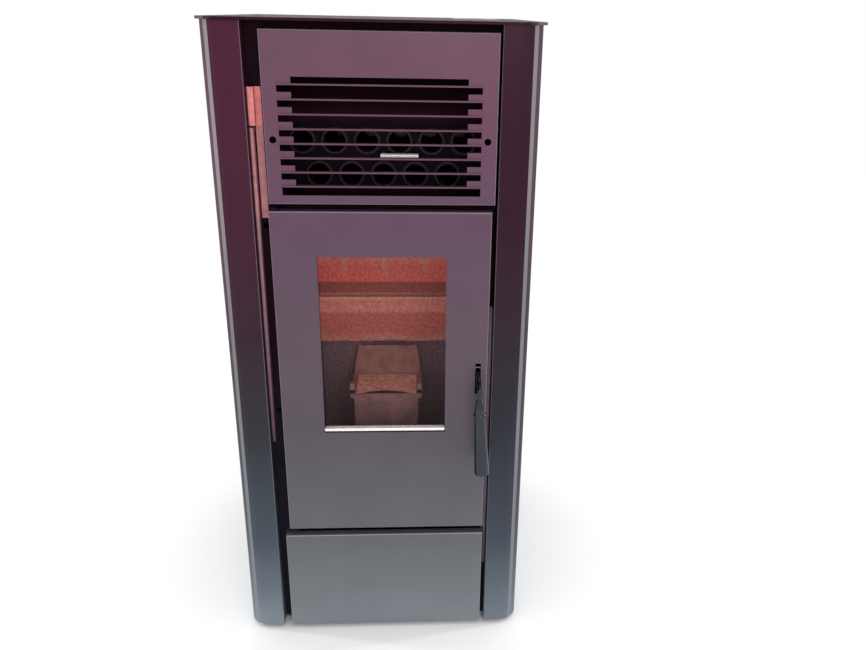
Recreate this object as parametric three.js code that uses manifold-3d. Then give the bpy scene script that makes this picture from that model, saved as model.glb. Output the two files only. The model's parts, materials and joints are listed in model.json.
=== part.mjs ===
// A free-standing pellet stove: folded steel casing, fire door with a glass pane, tube heat exchanger behind a
// lanced grille, pellet hopper with auger, two fans and an ash drawer.
// Millimetres. x runs to the right, y to the back, z up from the floor.
import * as THREE from "three";
import { mergeVertices } from "three/addons/utils/BufferGeometryUtils.js";
import Module from "manifold-3d";

const wasm = await Module();
wasm.setup();

// ---------------------------------------------------------------- driving dimensions
// Clearances
const seat = 0.3; // between two pieces that rest against each other
const running = 0.6; // round a turning or sliding piece
const passage = 4; // round a piece that moves through an opening

// Casing
const bodyWidth = 500;
const bodyDepth = 520;
const footHeight = 10;
const casingHeight = 1065;
const sideSheet = 1.5;
const rearSheet = 1.2;
const pilasterWidth = 62.5;
const cornerRadius = 32;
const foldRadius = 3;
const returnDepth = 24;
const rearFlange = 25;
const topThickness = 4;
const topOverhang = 6;
const traySheet = 1.5;
const trayLip = 8;
const trayChamfer = 12;

// Levelling feet
const footPadRadius = 16;
const footPadHeight = 6;
const studRadius = 4;
const studLength = 14;
const footInset = 45;

// Front panels
const panelSheet = 1.5;
const panelProud = 3;
const frameSheet = 1.5;
const frameOverlap = 16.5;
const upperPanelGaps = [24.5, 3.5];
const doorGaps = [22.5, 7.5];
const lowerPanelGaps = [14.5, 7.5];
const doorHeight = 578;
const doorFlange = 20;
const lowerPanelHeight = 199;
const gapOverUpperPanel = 11;
const gapUnderUpperPanel = 11;
const gapUnderDoor = 14;
const fixingHole = 8;
const fixingHoleGaps = [9, 4];
const fixingHoleDrops = [29, 353];
const pullGap = 12;

// Grille lanced in the upper panel
const grilleMargins = [22, 24];
const grilleBase = 14;
const grilleAbove = 68;
const bladePitch = 21.3;
const bladeDepth = 13;
const bladeLip = 1.5;
const bladeEdge = 2.4;
const tabWidth = 21;
const tabHeight = 11.5;
const grilleLowest = 12.5;
const accessHoleRadius = 5.25;
const accessHoleInsets = [12.5, 14.5];
const accessHoleHeight = 97;

// Fire door
const windowMargin = 70.5;
const windowBase = 194.5;
const windowAbove = 72.5;
const glassThickness = 4;
const glassOverlap = 12;
const doorPlate = 3;
const plateSightMargin = 4;
const ropeDiameter = 11;
const ropeSides = 8;
const ropeRib = 2;
const ropeRibDepth = 5.5;
const hingeInset = 8;
const hingePinRadius = 3;
const hingeBoss = 8;
const hingeBracketSheet = 3;
const hingeCollarRadius = 7;

// Door handle
const handleInset = 15.8;
const handleRod = 8;
const handleSlotWidth = 9.4;
const handleSlotHeight = 56;
const handleSlotBase = 266;
const pivotHeight = 310;
const pivotSetback = 11;
const pivotPinRadius = 3;
const pivotBossRadius = 7;
const pivotBossWidth = 13;
const earSheet = 2.5;
const handleStandOff = 42;
const coneTop = 276;
const coneHeight = 25;
const ringHeight = 6;
const ringRadius = 10.3;
const gripLength = 108;
const gripTopRadius = 9.2;
const gripEndRadius = 13;
const gripLean = 3.3;
const hookWidth = 6;
const hookReach = 30;
const keeperPinRadius = 2.5;
const keeperGap = 1;

// Firebox
const stoveOffset = 9;
const machineRoom = 267.9;
const fireboxRim = 24;
const fireboxAboveDoor = 4;
const fireboxWall = 3;
const hearthStep = 22;
const ashFloorHeight = 20.3;
const mouthMargin = 19;
const mouthAboveDoorFoot = 27;
const mouthBelowDoorTop = 31;
const smokeHoleRim = 36;
const smokeHoleRooms = [30, 38.1];
const liningThickness = 15;
const sideLiningThickness = 12;
const brickJoint = 2;
const brickWidth = 145;
const brickOffset = 3.5;
const courseDepth = 26;
const courseFront = 6;
const lowerCourseAbovePot = 62;
const lowerCourseHeight = 86;
const courseBevel = [8.2, 25];
const courseGap = 32.5;
const baffleBelowMouthTop = 70;
const baffleThickness = 12;
const baffleDepth = 140;

// Burn pot
const potOffset = 6;
const potWidth = 115;
const potDepth = 90;
const potHeight = 80;
const potWall = 4;
const potSetback = 133.8;
const potAboveHearth = 210;
const potRimWidth = 130;
const potRimReach = 4;
const potLipRise = 9;
const potLugHeight = 24;
const potLugWidth = 9;
const slideRise = 46;
const slideRun = 30.5;
const slideTopWidth = 112;
const slideFootWidth = 130;
const slideSheet = 3;
const slideCheek = 6;
const airHoleRadius = 3.5;
const airHolePitch = [20, 16];
const holderSheet = 3;
const holderProud = 1;

// Heat exchanger
const tubePlateY = 84;
const tubeRadius = 21.2;
const tubeBoreRadius = 17.2;
const tubePitch = 51.5;
const upperRowRise = 90.7;
const lowerRowRise = 37.7;
const tubeStandProud = 2;
const exchangerLedge = 8;
const exchangerHeight = 126;
const exchangerWall = 3;
const cowlBelowPanelTop = 46;
const scraperRodRadius = 4;
const scraperRise = 69.2;
const scraperBarLength = 60;
const scraperGuideWidth = 74;
const scraperGuideHeight = 16;
const scraperGuideSheet = 3;
const scraperPlateSheet = 3;

// Ash drawer
const drawerSheet = 1.5;
const drawerHeight = 96;
const drawerBackGap = 23.1;

// Hopper and lid
const lidSideInset = 100;
const lidPanelGap = 10;
const lidDepth = 188;
const lidHingeInset = 32;
const lidGap = 1.5;
const lidNotchRadius = 14;
const knuckleRadius = 3.5;
const knuckleLength = 70;
const lidPinRadius = 1.5;
const hopperSheet = 1.5;
const hopperLedge = 9;
const hopperStraight = 250;
const hopperOutlet = 50;

// Auger
const augerTubeRadius = 31.5;
const augerTubeWall = 2.5;
const augerSetback = 187.9;
const augerFootDrop = 18;
const augerRun = 105;
const screwRadius = 27;
const screwShaftRadius = 8;
const screwPitch = 42;
const screwBlade = 3;
const screwSteps = 10;
const gearboxSize = 58;
const gearboxDepth = 28;
const augerMotorRadius = 27;
const augerMotorLength = 40;
const neckInset = 15;
const neckAboveHead = 13;
const chuteWidth = 60;
const chuteHeight = 56;
const chuteWall = 2.5;
const chuteProud = 5.8;
const chuteAbovePot = 80;

// Fans and ducts
const fanWall = 1.5;
const roomFanSize = { width: 70, inner: 60, outer: 77.4, outlet: 40 };
const roomFanHeight = 150;
const roomFanGap = 0.5;
const smokeFanSize = { width: 60, inner: 58, outer: 75, outlet: 45 };
const smokeFanHeight = 140;
const smokeFanSetback = 127.9;
const fanBlades = 9;
const fanRim = 4;
const fanShaftRadius = 5;
const fanMotorRadius = 34;
const fanMotorLength = 38;
const plenumDepth = 40;
const plenumAboveHearth = 72;
const smokeBoxWidth = 40;
const smokeBoxBase = 90;
const smokeBoxGaps = [10, 1];
const smokePortInset = 6;
const smokePortWidth = 28;
const smokePortHeight = 40;
const smokePortAboveHearth = 27;
const flueFlangeInset = 50;
const fluePipeRadius = 40;
const flueWall = 1.5;
const flueReach = 55;
const flueFlangeSize = 96;
const flueFlangeThickness = 2.5;
const airPipeRadius = 25;
const airPipeWall = 2;
const airPipeAboveHearth = 40;
const airPipeReach = 32;
const igniterRadius = 6;
const igniterBelowRim = 46;
const igniterLength = 108;

// Rear panel, controls and mains inlet
const rearPanelInset = 15;
const ventSlotWidth = 60;
const ventSlotHeight = 6;
const ventPitch = 14;
const ventRows = 8;
const ventBase = 90;
const ventInset = 100;
const controlBoxSize = [46, 160, 210];
const controlBoxInset = 220;
const controlBoxBase = 350;
const controlPanelSize = [84, 118];
const controlPanelInset = [78, 130];
const controlPanelFlange = 6;
const controlPanelDepth = 12;
const displaySize = [46, 26];
const displayRecess = 1;
const inletInset = 60;
const inletHeight = 420;
const inletSize = [48, 62];
const inletDepth = 24;
const inletFlange = 5;
const inletFlangeSheet = 2.5;
const socketSize = [25, 17];
const socketDepth = 15;
const socketPin = [2, 10, 5];
const rockerSize = [14, 24];
const rockerProud = 4;
const rockerRock = 7;

// Rails seen in the gaps beside the panels
const railWidth = 6;
const railDepth = 12;
const leftRailBase = 170;
const railBracketGap = 3;
const rightRailDrops = [75, 161];
const sideBracketDrops = [148, 92];
const sideBracketWidth = 10;
const sideBracketFootDrop = 27;

// ---------------------------------------------------------------- places worked out from them
const sideX = bodyWidth / 2;
const pilasterX = sideX - pilasterWidth;
const casingTop = footHeight + casingHeight;
const topZ = [casingTop + seat, casingTop + seat + topThickness];
const flangeBackY = bodyDepth - rearSheet - seat;
const casingInnerX = sideX - sideSheet - seat;
const trayBackY = flangeBackY - sideSheet - seat;
const trayTop = footHeight + traySheet;
const panelY = -panelProud;
const frameY = [returnDepth + seat, returnDepth + seat + frameSheet];
const panelBackY = frameY[0] - seat;
const lowerPanelX = betweenPilasters(lowerPanelGaps);
const lowerPanelZ = [footHeight, footHeight + lowerPanelHeight];
const doorX = betweenPilasters(doorGaps);
const doorZ = [lowerPanelZ[1] + gapUnderDoor, lowerPanelZ[1] + gapUnderDoor + doorHeight];
const upperPanelX = betweenPilasters(upperPanelGaps);
const upperPanelZ = [doorZ[1] + gapUnderUpperPanel, casingTop - gapOverUpperPanel];
const windowX = grown(doorX, -windowMargin);
const windowZ = [doorZ[0] + windowBase, doorZ[1] - windowAbove];
const mouthX = around(stoveOffset, windowX[1] - windowX[0] + 2 * mouthMargin);
const mouthZ = [doorZ[0] + mouthAboveDoorFoot, doorZ[1] - mouthBelowDoorTop];
const fireboxX = grown(mouthX, fireboxRim);
const fireboxY = [frameY[1] + seat, bodyDepth - machineRoom];
const fireboxTop = doorZ[1] + fireboxAboveDoor;
const plateBackY = fireboxY[0] - seat - ropeDiameter - seat;
const plateY = [plateBackY - doorPlate, plateBackY];
const glassY = [plateY[0] - seat - glassThickness, plateY[0] - seat];
const handleX = doorX[1] - handleInset;
const hingeAt = [doorX[0] + hingeInset, panelY + panelSheet + hingeInset];
const pivotAt = [panelY + pivotSetback, doorZ[0] + pivotHeight];
const ashFloorZ = [ashFloorHeight, ashFloorHeight + fireboxWall];
const hearthZ = [mouthZ[0] - hearthStep, mouthZ[0] - hearthStep + fireboxWall];
const exchangerX = grown(fireboxX, exchangerLedge);
const exchangerZ = [fireboxTop + seat, fireboxTop + seat + exchangerHeight];
const liningBase = hearthZ[1] + seat;
const baffleBase = mouthZ[1] - baffleBelowMouthTop;
const liningTop = baffleBase - seat;
const potRimTop = hearthZ[0] + potAboveHearth;
const igniterHeight = potRimTop - igniterBelowRim;
const airPipeHeight = hearthZ[0] + airPipeAboveHearth;
const controlPanelAt = [sideX - controlPanelInset[0], bodyDepth - controlPanelInset[1]];
const lidX = [lidSideInset - sideX, controlPanelAt[0] - controlPanelSize[0] / 2 - lidPanelGap];
const lidMiddle = (lidX[0] + lidX[1]) / 2;
const lidHinge = [bodyDepth - lidHingeInset, topZ[1] - knuckleRadius];
const lidFront = lidHinge[0] - lidDepth;
const inletAt = [inletInset - sideX, inletHeight];
const roomFan = {
  ...roomFanSize,
  x: fireboxX[0],
  y: fireboxY[1] + roomFanGap + roomFanSize.outer,
  z: roomFanHeight,
};
const smokeBoxX = stoveOffset + airPipeRadius + smokeBoxGaps[0];
const smokeFan = {
  ...smokeFanSize,
  x: smokeBoxX + smokeBoxWidth,
  y: fireboxY[1] + smokeFanSetback,
  z: smokeFanHeight,
};
const flueAt = [smokeFan.x + smokeFan.width / 2, smokeFan.z + smokeFan.outer - smokeFan.outlet / 2];
const flueEndY = bodyDepth + flueReach;

// ---------------------------------------------------------------- shape helpers
function around(centre, size) {
  return [centre - size / 2, centre + size / 2];
}

function betweenPilasters(gaps) {
  return [gaps[0] - pilasterX, pilasterX - gaps[1]];
}

function grown([low, high], by) {
  return [low - by, high + by];
}

function toSolid(geometry) {
  const bare = new THREE.BufferGeometry();
  const source = geometry.index ? geometry.toNonIndexed() : geometry;
  bare.setAttribute("position", source.getAttribute("position").clone());
  const merged = mergeVertices(bare, 1e-3);
  const mesh = new wasm.Mesh({
    numProp: 3,
    vertProperties: merged.attributes.position.array,
    triVerts: new Uint32Array(merged.index.array),
  });
  return new wasm.Manifold(mesh);
}

function fromSolid(solid) {
  const mesh = solid.getMesh();
  const geometry = new THREE.BufferGeometry();
  geometry.setAttribute("position", new THREE.BufferAttribute(new Float32Array(mesh.vertProperties), 3));
  geometry.setIndex(new THREE.BufferAttribute(new Uint32Array(mesh.triVerts), 1));
  geometry.computeVertexNormals();
  return geometry;
}

function join(...pieces) {
  return fromSolid(pieces.map(toSolid).reduce((whole, piece) => whole.add(piece)));
}

function cut(piece, ...tools) {
  return fromSolid(tools.map(toSolid).reduce((left, tool) => left.subtract(tool), toSolid(piece)));
}

function common(first, second) {
  return fromSolid(toSolid(first).intersect(toSolid(second)));
}

function block(x, y, z) {
  const geometry = new THREE.BoxGeometry(x[1] - x[0], y[1] - y[0], z[1] - z[0]);
  return geometry.translate((x[0] + x[1]) / 2, (y[0] + y[1]) / 2, (z[0] + z[1]) / 2);
}

// A block whose lower and upper faces are different rectangles.
function taperedBlock(lower, upper, z) {
  const geometry = new THREE.BoxGeometry(1, 1, 1);
  const corners = geometry.attributes.position;
  for (let i = 0; i < corners.count; i += 1) {
    const isUpper = corners.getZ(i) > 0 ? 1 : 0;
    const face = isUpper ? upper : lower;
    const x = face.x[corners.getX(i) > 0 ? 1 : 0];
    const y = face.y[corners.getY(i) > 0 ? 1 : 0];
    corners.setXYZ(i, x, y, z[isUpper]);
  }
  return geometry;
}

function rod(radius, from, to, sides = 16) {
  const start = new THREE.Vector3(...from);
  const end = new THREE.Vector3(...to);
  const along = end.clone().sub(start);
  const geometry = new THREE.CylinderGeometry(radius, radius, along.length(), sides);
  const turn = new THREE.Quaternion().setFromUnitVectors(new THREE.Vector3(0, 1, 0), along.normalize());
  const middle = start.add(end).multiplyScalar(0.5);
  return geometry.applyQuaternion(turn).translate(middle.x, middle.y, middle.z);
}

function pipe(radius, bore, from, to, sides = 24) {
  const along = new THREE.Vector3(...to).sub(new THREE.Vector3(...from)).normalize();
  const before = new THREE.Vector3(...from).sub(along).toArray();
  const after = new THREE.Vector3(...to).add(along).toArray();
  return cut(rod(radius, from, to, sides), rod(bore, before, after, sides));
}

// A polyline whose corners [u, v, radius] are rounded by arcs.
function roundedPath(corners, closed, steps = 3) {
  const count = corners.length;
  const origin = new THREE.Vector2();
  return corners.flatMap(([u, v, radius = 0], i) => {
    const corner = new THREE.Vector2(u, v);
    const isEnd = !closed && (i === 0 || i === count - 1);
    if (isEnd || radius === 0) return [corner];
    const before = corners[(i + count - 1) % count];
    const after = corners[(i + 1) % count];
    const back = new THREE.Vector2(before[0], before[1]).sub(corner).normalize();
    const ahead = new THREE.Vector2(after[0], after[1]).sub(corner).normalize();
    const half = Math.acos(THREE.MathUtils.clamp(back.dot(ahead), -1, 1)) / 2;
    const reach = radius / Math.tan(half);
    const inwards = back.clone().add(ahead).normalize();
    const centre = inwards.multiplyScalar(radius / Math.sin(half)).add(corner);
    const start = back.multiplyScalar(reach).add(corner).sub(centre);
    const end = ahead.multiplyScalar(reach).add(corner).sub(centre);
    const sweep = Math.atan2(start.cross(end), start.dot(end));
    const arc = [];
    for (let k = 0; k <= steps; k += 1) {
      arc.push(start.clone().rotateAround(origin, (sweep * k) / steps).add(centre));
    }
    return arc;
  });
}

function offsetPath(path, distance) {
  const last = path.length - 1;
  return path.map((point, i) => {
    const into = path[Math.max(i, 1)].clone().sub(path[Math.max(i, 1) - 1]).normalize();
    const out = path[Math.min(i, last - 1) + 1].clone().sub(path[Math.min(i, last - 1)]).normalize();
    const leftIn = new THREE.Vector2(-into.y, into.x);
    const leftOut = new THREE.Vector2(-out.y, out.x);
    const mitre = leftIn.clone().add(leftOut).normalize();
    return point.clone().addScaledVector(mitre, distance / mitre.dot(leftIn));
  });
}

const extrudeFrames = {
  x: [new THREE.Vector3(0, 1, 0), new THREE.Vector3(0, 0, 1), new THREE.Vector3(1, 0, 0)],
  y: [new THREE.Vector3(1, 0, 0), new THREE.Vector3(0, 0, 1), new THREE.Vector3(0, -1, 0)],
  z: [new THREE.Vector3(1, 0, 0), new THREE.Vector3(0, 1, 0), new THREE.Vector3(0, 0, 1)],
};

// Extrudes an outline along an axis: its own axes are (y, z) along x, (x, z) along y and (x, y) along z.
function extrude(outline, axis, [from, to]) {
  const shape = new THREE.Shape(outline);
  const geometry = new THREE.ExtrudeGeometry(shape, { depth: to - from, bevelEnabled: false });
  const frame = new THREE.Matrix4().makeBasis(...extrudeFrames[axis]);
  const shift = { x: [from, 0, 0], y: [0, to, 0], z: [0, 0, from] }[axis];
  return geometry.applyMatrix4(frame).translate(...shift);
}

// A folded sheet: its outer face follows the corners, and its thickness lies to one side of them.
function foldedSheet(corners, thickness, axis, span, steps = 3) {
  const outer = roundedPath(corners, false, steps);
  const inner = offsetPath(outer, thickness);
  return extrude([...outer, ...inner.reverse()], axis, span);
}

// The outside of a pressed tray that opens to the back, its four front edges rounded.
function trayBody(x, y, z, radius) {
  const plan = [[x[0], y[0], radius], [x[1], y[0], radius], [x[1], y[1]], [x[0], y[1]]];
  const profile = [[y[0], z[0], radius], [y[1], z[0]], [y[1], z[1]], [y[0], z[1], radius]];
  return common(extrude(roundedPath(plan, true), "z", z), extrude(roundedPath(profile, true), "x", x));
}

function pressedTray(x, y, z, sheet, radius) {
  const inside = trayBody(grown(x, -sheet), [y[0] + sheet, y[1] + 1], grown(z, -sheet), radius - sheet);
  return cut(trayBody(x, y, z, radius), inside);
}

function ringOfRope(x, z, y, radius, cornerRound) {
  const outline = [[x[0], z[0]], [x[1], z[0]], [x[1], z[1]], [x[0], z[1]]];
  const band = (reach) => roundedPath(
    [
      [outline[0][0] - reach, outline[0][1] - reach, cornerRound + reach],
      [outline[1][0] + reach, outline[1][1] - reach, cornerRound + reach],
      [outline[2][0] + reach, outline[2][1] + reach, cornerRound + reach],
      [outline[3][0] - reach, outline[3][1] + reach, cornerRound + reach],
    ],
    true,
    4,
  );
  const rings = [];
  for (let side = 0; side < ropeSides; side += 1) {
    const turn = (2 * Math.PI * (side + 0.5)) / ropeSides;
    const loop = band(radius * Math.cos(turn));
    rings.push(loop.map((point) => [point.x, y + radius * Math.sin(turn), point.y]));
  }
  return closedTorus(rings);
}

// A closed tube from loops of points: neighbouring loops are joined all the way round.
function closedTorus(rings) {
  const count = rings[0].length;
  const triangles = [];
  rings.forEach((ring, i) => {
    const next = rings[(i + 1) % rings.length];
    for (let k = 0; k < count; k += 1) {
      const m = (k + 1) % count;
      triangles.push(ring[k], next[k], next[m], ring[k], next[m], ring[m]);
    }
  });
  return facetsOutwards(triangles);
}

function facetsOutwards(points) {
  const geometry = new THREE.BufferGeometry();
  geometry.setAttribute("position", new THREE.Float32BufferAttribute(points.flat(), 3));
  if (toSolid(geometry).volume() > 0) return geometry;
  const turned = [];
  for (let i = 0; i < points.length; i += 3) {
    turned.push(points[i], points[i + 2], points[i + 1]);
  }
  geometry.setAttribute("position", new THREE.Float32BufferAttribute(turned.flat(), 3));
  return geometry;
}

// A screw blade wound about the z axis from z = 0 to the given length.
function screwBladeBody(inner, outer, pitch, thickness, length, steps) {
  const count = Math.round((length / pitch) * steps);
  const section = (i) => {
    const turn = (2 * Math.PI * i) / steps;
    const z = ((length - thickness) * i) / count;
    const at = (radius, height) => [radius * Math.cos(turn), radius * Math.sin(turn), height];
    return [at(inner, z), at(outer, z), at(outer, z + thickness), at(inner, z + thickness)];
  };
  const triangles = [];
  for (let i = 0; i < count; i += 1) {
    const near = section(i);
    const far = section(i + 1);
    for (let k = 0; k < 4; k += 1) {
      const m = (k + 1) % 4;
      triangles.push(near[k], far[k], far[m], near[k], far[m], near[m]);
    }
  }
  const first = section(0);
  const last = section(count);
  triangles.push(first[0], first[1], first[2], first[0], first[2], first[3]);
  triangles.push(last[0], last[2], last[1], last[0], last[3], last[2]);
  return facetsOutwards(triangles);
}

// ---------------------------------------------------------------- materials
function finish(color, roughness, metalness) {
  return new THREE.MeshStandardMaterial({ color, roughness, metalness, flatShading: true });
}

const casingPaint = finish(0x4c4450, 0.45, 0.5);
const panelPaint = finish(0x74697a, 0.5, 0.55);
const darkSteel = finish(0x241c22, 0.7, 0.4);
const galvanised = finish(0xb89a98, 0.5, 0.7);
const brightSteel = finish(0xd8d8dc, 0.25, 1);
const polished = finish(0xa8a6ac, 0.2, 1);
const ceramicGlass = finish(0x3a3030, 0.08, 0);
ceramicGlass.transparent = true;
ceramicGlass.opacity = 0.35;
const ropeGrey = finish(0x55504c, 0.95, 0);
const fireClay = finish(0x9a5a48, 0.9, 0);
const castIron = finish(0x4a3a38, 0.8, 0.3);
const sheetSteel = finish(0x9a9a9c, 0.45, 0.8);
const blackPlastic = finish(0x1c1c1e, 0.6, 0);
const rubber = finish(0x222222, 0.9, 0);

const stove = new THREE.Group();

function add(name, geometry, material) {
  const mesh = new THREE.Mesh(geometry, material);
  mesh.name = name;
  stove.add(mesh);
}

// ---------------------------------------------------------------- casing
const footX = sideX - footInset;
const footPlaces = [
  [-footX, footInset + returnDepth],
  [footX, footInset + returnDepth],
  [-footX, bodyDepth - footInset],
  [footX, bodyDepth - footInset],
];

function baseTray() {
  const outline = (inset) => [
    [-casingInnerX + trayChamfer + inset, frameY[0] + inset],
    [casingInnerX - trayChamfer - inset, frameY[0] + inset],
    [casingInnerX - inset, frameY[0] + trayChamfer + inset],
    [casingInnerX - inset, trayBackY - foldRadius],
    [casingInnerX - foldRadius, trayBackY - inset],
    [-casingInnerX + foldRadius, trayBackY - inset],
    [-casingInnerX + inset, trayBackY - foldRadius],
    [-casingInnerX + inset, frameY[0] + trayChamfer + inset],
  ].map(([x, y]) => new THREE.Vector2(x, y));
  const outside = extrude(outline(0), "z", [footHeight, footHeight + trayLip]);
  const inside = extrude(outline(traySheet), "z", [trayTop, footHeight + trayLip + 1]);
  const studHoles = footPlaces.map(([x, y]) => rod(studRadius + running, [x, y, 0], [x, y, trayTop + 1], 12));
  return cut(outside, inside, ...studHoles);
}

function levellingFoot(x, y) {
  const nutTop = footHeight - seat;
  const profile = [
    [0, 0],
    [footPadRadius, 0],
    [footPadRadius, footPadHeight / 2],
    [footPadRadius - 4, footPadHeight],
    [0, footPadHeight],
  ].map(([u, v]) => new THREE.Vector2(u, v));
  const pad = new THREE.LatheGeometry(profile, 12).rotateX(Math.PI / 2).translate(x, y, 0);
  const nut = rod(studRadius * 1.7, [x, y, footPadHeight - 1], [x, y, nutTop], 6);
  const stud = rod(studRadius, [x, y, footPadHeight - 1], [x, y, footHeight + studLength], 12);
  return join(pad, nut, stud);
}

function sidePanel(side) {
  const corners = [
    [side * pilasterX, returnDepth],
    [side * pilasterX, 0, foldRadius],
    [side * sideX, 0, cornerRadius],
    [side * sideX, flangeBackY, foldRadius],
    [side * (sideX - rearFlange), flangeBackY],
  ];
  return foldedSheet(corners, side * sideSheet, "z", [footHeight, casingTop], 6);
}

function topPlate() {
  const edge = sideX + topOverhang;
  const front = cornerRadius + topOverhang;
  const corners = [
    [-edge, -topOverhang, front],
    [edge, -topOverhang, front],
    [edge, bodyDepth, foldRadius],
    [-edge, bodyDepth, foldRadius],
  ];
  const plate = extrude(roundedPath(corners, true, 6), "z", topZ);
  const lidHole = block(lidX, [lidFront, lidHinge[0] + knuckleRadius + running], grown(topZ, 1));
  const [panelX, panelYs] = controlPanelSpan(lidGap / 2);
  const panelHole = block(panelX, panelYs, grown(topZ, 1));
  const fixedKnuckles = knuckleSpans(false).map((span) => knuckle(span, 1));
  return join(cut(plate, lidHole, panelHole), ...fixedKnuckles);
}

// Where the hinge knuckles lie along x: the lid's pair, or the top plate's pair just inside them.
function knuckleSpans(onLid) {
  const outer = (lidX[1] - lidX[0]) / 2 - 12;
  const inner = outer - knuckleLength;
  const step = knuckleLength * 0.45;
  const span = onLid ? [inner, outer] : [inner - running - step, inner - running];
  return [
    [lidMiddle - span[1], lidMiddle - span[0]],
    [lidMiddle + span[0], lidMiddle + span[1]],
  ];
}

// One knuckle on the lid hinge, with the leaf that joins it to a plate ahead of it (-1) or behind it (1).
function knuckle(span, side) {
  const [y, z] = lidHinge;
  const barrel = rod(knuckleRadius, [span[0], y, z], [span[1], y, z], 16);
  const leafY = side > 0 ? [y, y + knuckleRadius + running + 2] : [y - knuckleRadius - running - 2, y];
  const leaf = block(span, leafY, topZ);
  const bore = rod(lidPinRadius + running / 2, [span[0] - 1, y, z], [span[1] + 1, y, z], 12);
  return cut(join(barrel, leaf), bore);
}

function hopperLid() {
  const front = lidFront + lidGap;
  const back = lidHinge[0] - knuckleRadius - running;
  const plate = block(grown(lidX, -lidGap), [front, back], topZ);
  const notch = rod(lidNotchRadius, [lidMiddle, front, topZ[0] - 1], [lidMiddle, front, topZ[1] + 1], 20);
  const knuckles = knuckleSpans(true).map((span) => knuckle(span, -1));
  return join(cut(plate, notch), ...knuckles);
}

function lidHingePin() {
  const [y, z] = lidHinge;
  const [left, right] = knuckleSpans(true);
  return rod(lidPinRadius, [left[0] - 2, y, z], [right[1] + 2, y, z], 8);
}

function rearPanel() {
  const x = around(0, 2 * (sideX - rearPanelInset));
  const sheetY = [bodyDepth - rearSheet, bodyDepth];
  const through = [sheetY[0] - 1, sheetY[1] + 1];
  const plate = block(x, sheetY, [footHeight + seat, casingTop]);
  const hole = (radius, at, z) => rod(radius, [at, through[0], z], [at, through[1], z], 32);
  const vents = [];
  for (let row = 0; row < ventRows; row += 1) {
    const z = ventBase + row * ventPitch;
    vents.push(block(around(ventInset - sideX, ventSlotWidth), through, [z, z + ventSlotHeight]));
  }
  const inletX = around(inletAt[0], inletSize[0] + 2 * seat);
  const inletZ = around(inletAt[1], inletSize[1] + 2 * seat);
  return cut(
    plate,
    hole(fluePipeRadius + 1, flueAt[0], flueAt[1]),
    hole(airPipeRadius + 1, stoveOffset, airPipeHeight),
    block(inletX, through, inletZ),
    ...vents,
  );
}

add("base_tray", baseTray(), darkSteel);
footPlaces.forEach(([x, y], i) => add(`levelling_foot_${i + 1}`, levellingFoot(x, y), rubber));
add("side_panel_left", sidePanel(-1), casingPaint);
add("side_panel_right", sidePanel(1), casingPaint);
add("top_plate", topPlate(), casingPaint);
add("hopper_lid", hopperLid(), casingPaint);
add("lid_hinge_pin", lidHingePin(), brightSteel);
add("rear_panel", rearPanel(), casingPaint);

// ---------------------------------------------------------------- front frame, rails and panels
const ashOpeningX = grown(fireboxX, -8);
const ashOpeningZ = [ashFloorZ[1], hearthZ[0] - 20];
const latchWindowX = around(handleX, hookWidth + 12);
const latchWindowZ = [pivotAt[1] - 30, pivotAt[1] + 22];

function frontFrame() {
  const plate = block(around(0, 2 * (pilasterX + frameOverlap)), frameY, [footHeight + trayLip + seat, casingTop]);
  const through = grown(frameY, 1);
  const fixings = fixingHoleDrops.flatMap((drop, i) => {
    const z = around(doorZ[1] - drop, fixingHole);
    const left = block(around(doorX[0] - fixingHoleGaps[0], fixingHole), through, z);
    const right = block(around(doorX[1] + fixingHoleGaps[1], fixingHole), through, z);
    return i === 0 ? [left, right] : [left];
  });
  return cut(
    plate,
    ...fixings,
    block(grown(upperPanelX, -8), through, [upperPanelZ[0] + 8, upperPanelZ[1] - 40]),
    block(grown(fireboxX, -3), through, grown(mouthZ, 18)),
    block(ashOpeningX, through, ashOpeningZ),
    block(latchWindowX, through, latchWindowZ),
  );
}

function upperPanel() {
  const x = upperPanelX;
  const z = upperPanelZ;
  const tray = pressedTray(x, [panelY, panelBackY], z, panelSheet, foldRadius);
  const through = [panelY - 1, panelY + panelSheet + 0.5];
  const grilleX = [x[0] + grilleMargins[0], x[1] - grilleMargins[1]];
  const grilleZ = [z[0] + grilleBase, z[1] - grilleAbove];
  const bladeCount = 1 + Math.floor((grilleZ[1] - grilleZ[0] - grilleLowest) / bladePitch);
  const middle = grown(grilleX, -tabWidth);
  const slots = [];
  const blades = [];
  let slotBase = grilleZ[0];
  for (let i = 0; i < bladeCount; i += 1) {
    const edge = grilleZ[0] + grilleLowest + i * bladePitch;
    const edgeZ = [edge, edge + bladeEdge];
    slots.push(block(grilleX, through, [slotBase, edge]));
    const stripTop = Math.min(edge + tabHeight, grilleZ[1] + bladeEdge);
    slots.push(block(middle, through, [edge + bladeEdge / 2, stripTop + 1]));
    const lip = block(grilleX, [panelY - bladeLip, panelY + panelSheet], edgeZ);
    const blade = block(middle, [panelY - bladeLip, panelY + bladeDepth], [edge, edge + panelSheet]);
    blades.push(lip, blade);
    slotBase = stripTop;
  }
  const holeZ = z[0] + accessHoleHeight;
  const holes = [x[0] + accessHoleInsets[0], x[1] - accessHoleInsets[1]].map((at) =>
    rod(accessHoleRadius, [at, panelY - 1, holeZ], [at, panelY + panelSheet + 1, holeZ], 16),
  );
  return join(cut(tray, ...slots, ...holes), ...blades);
}

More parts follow.
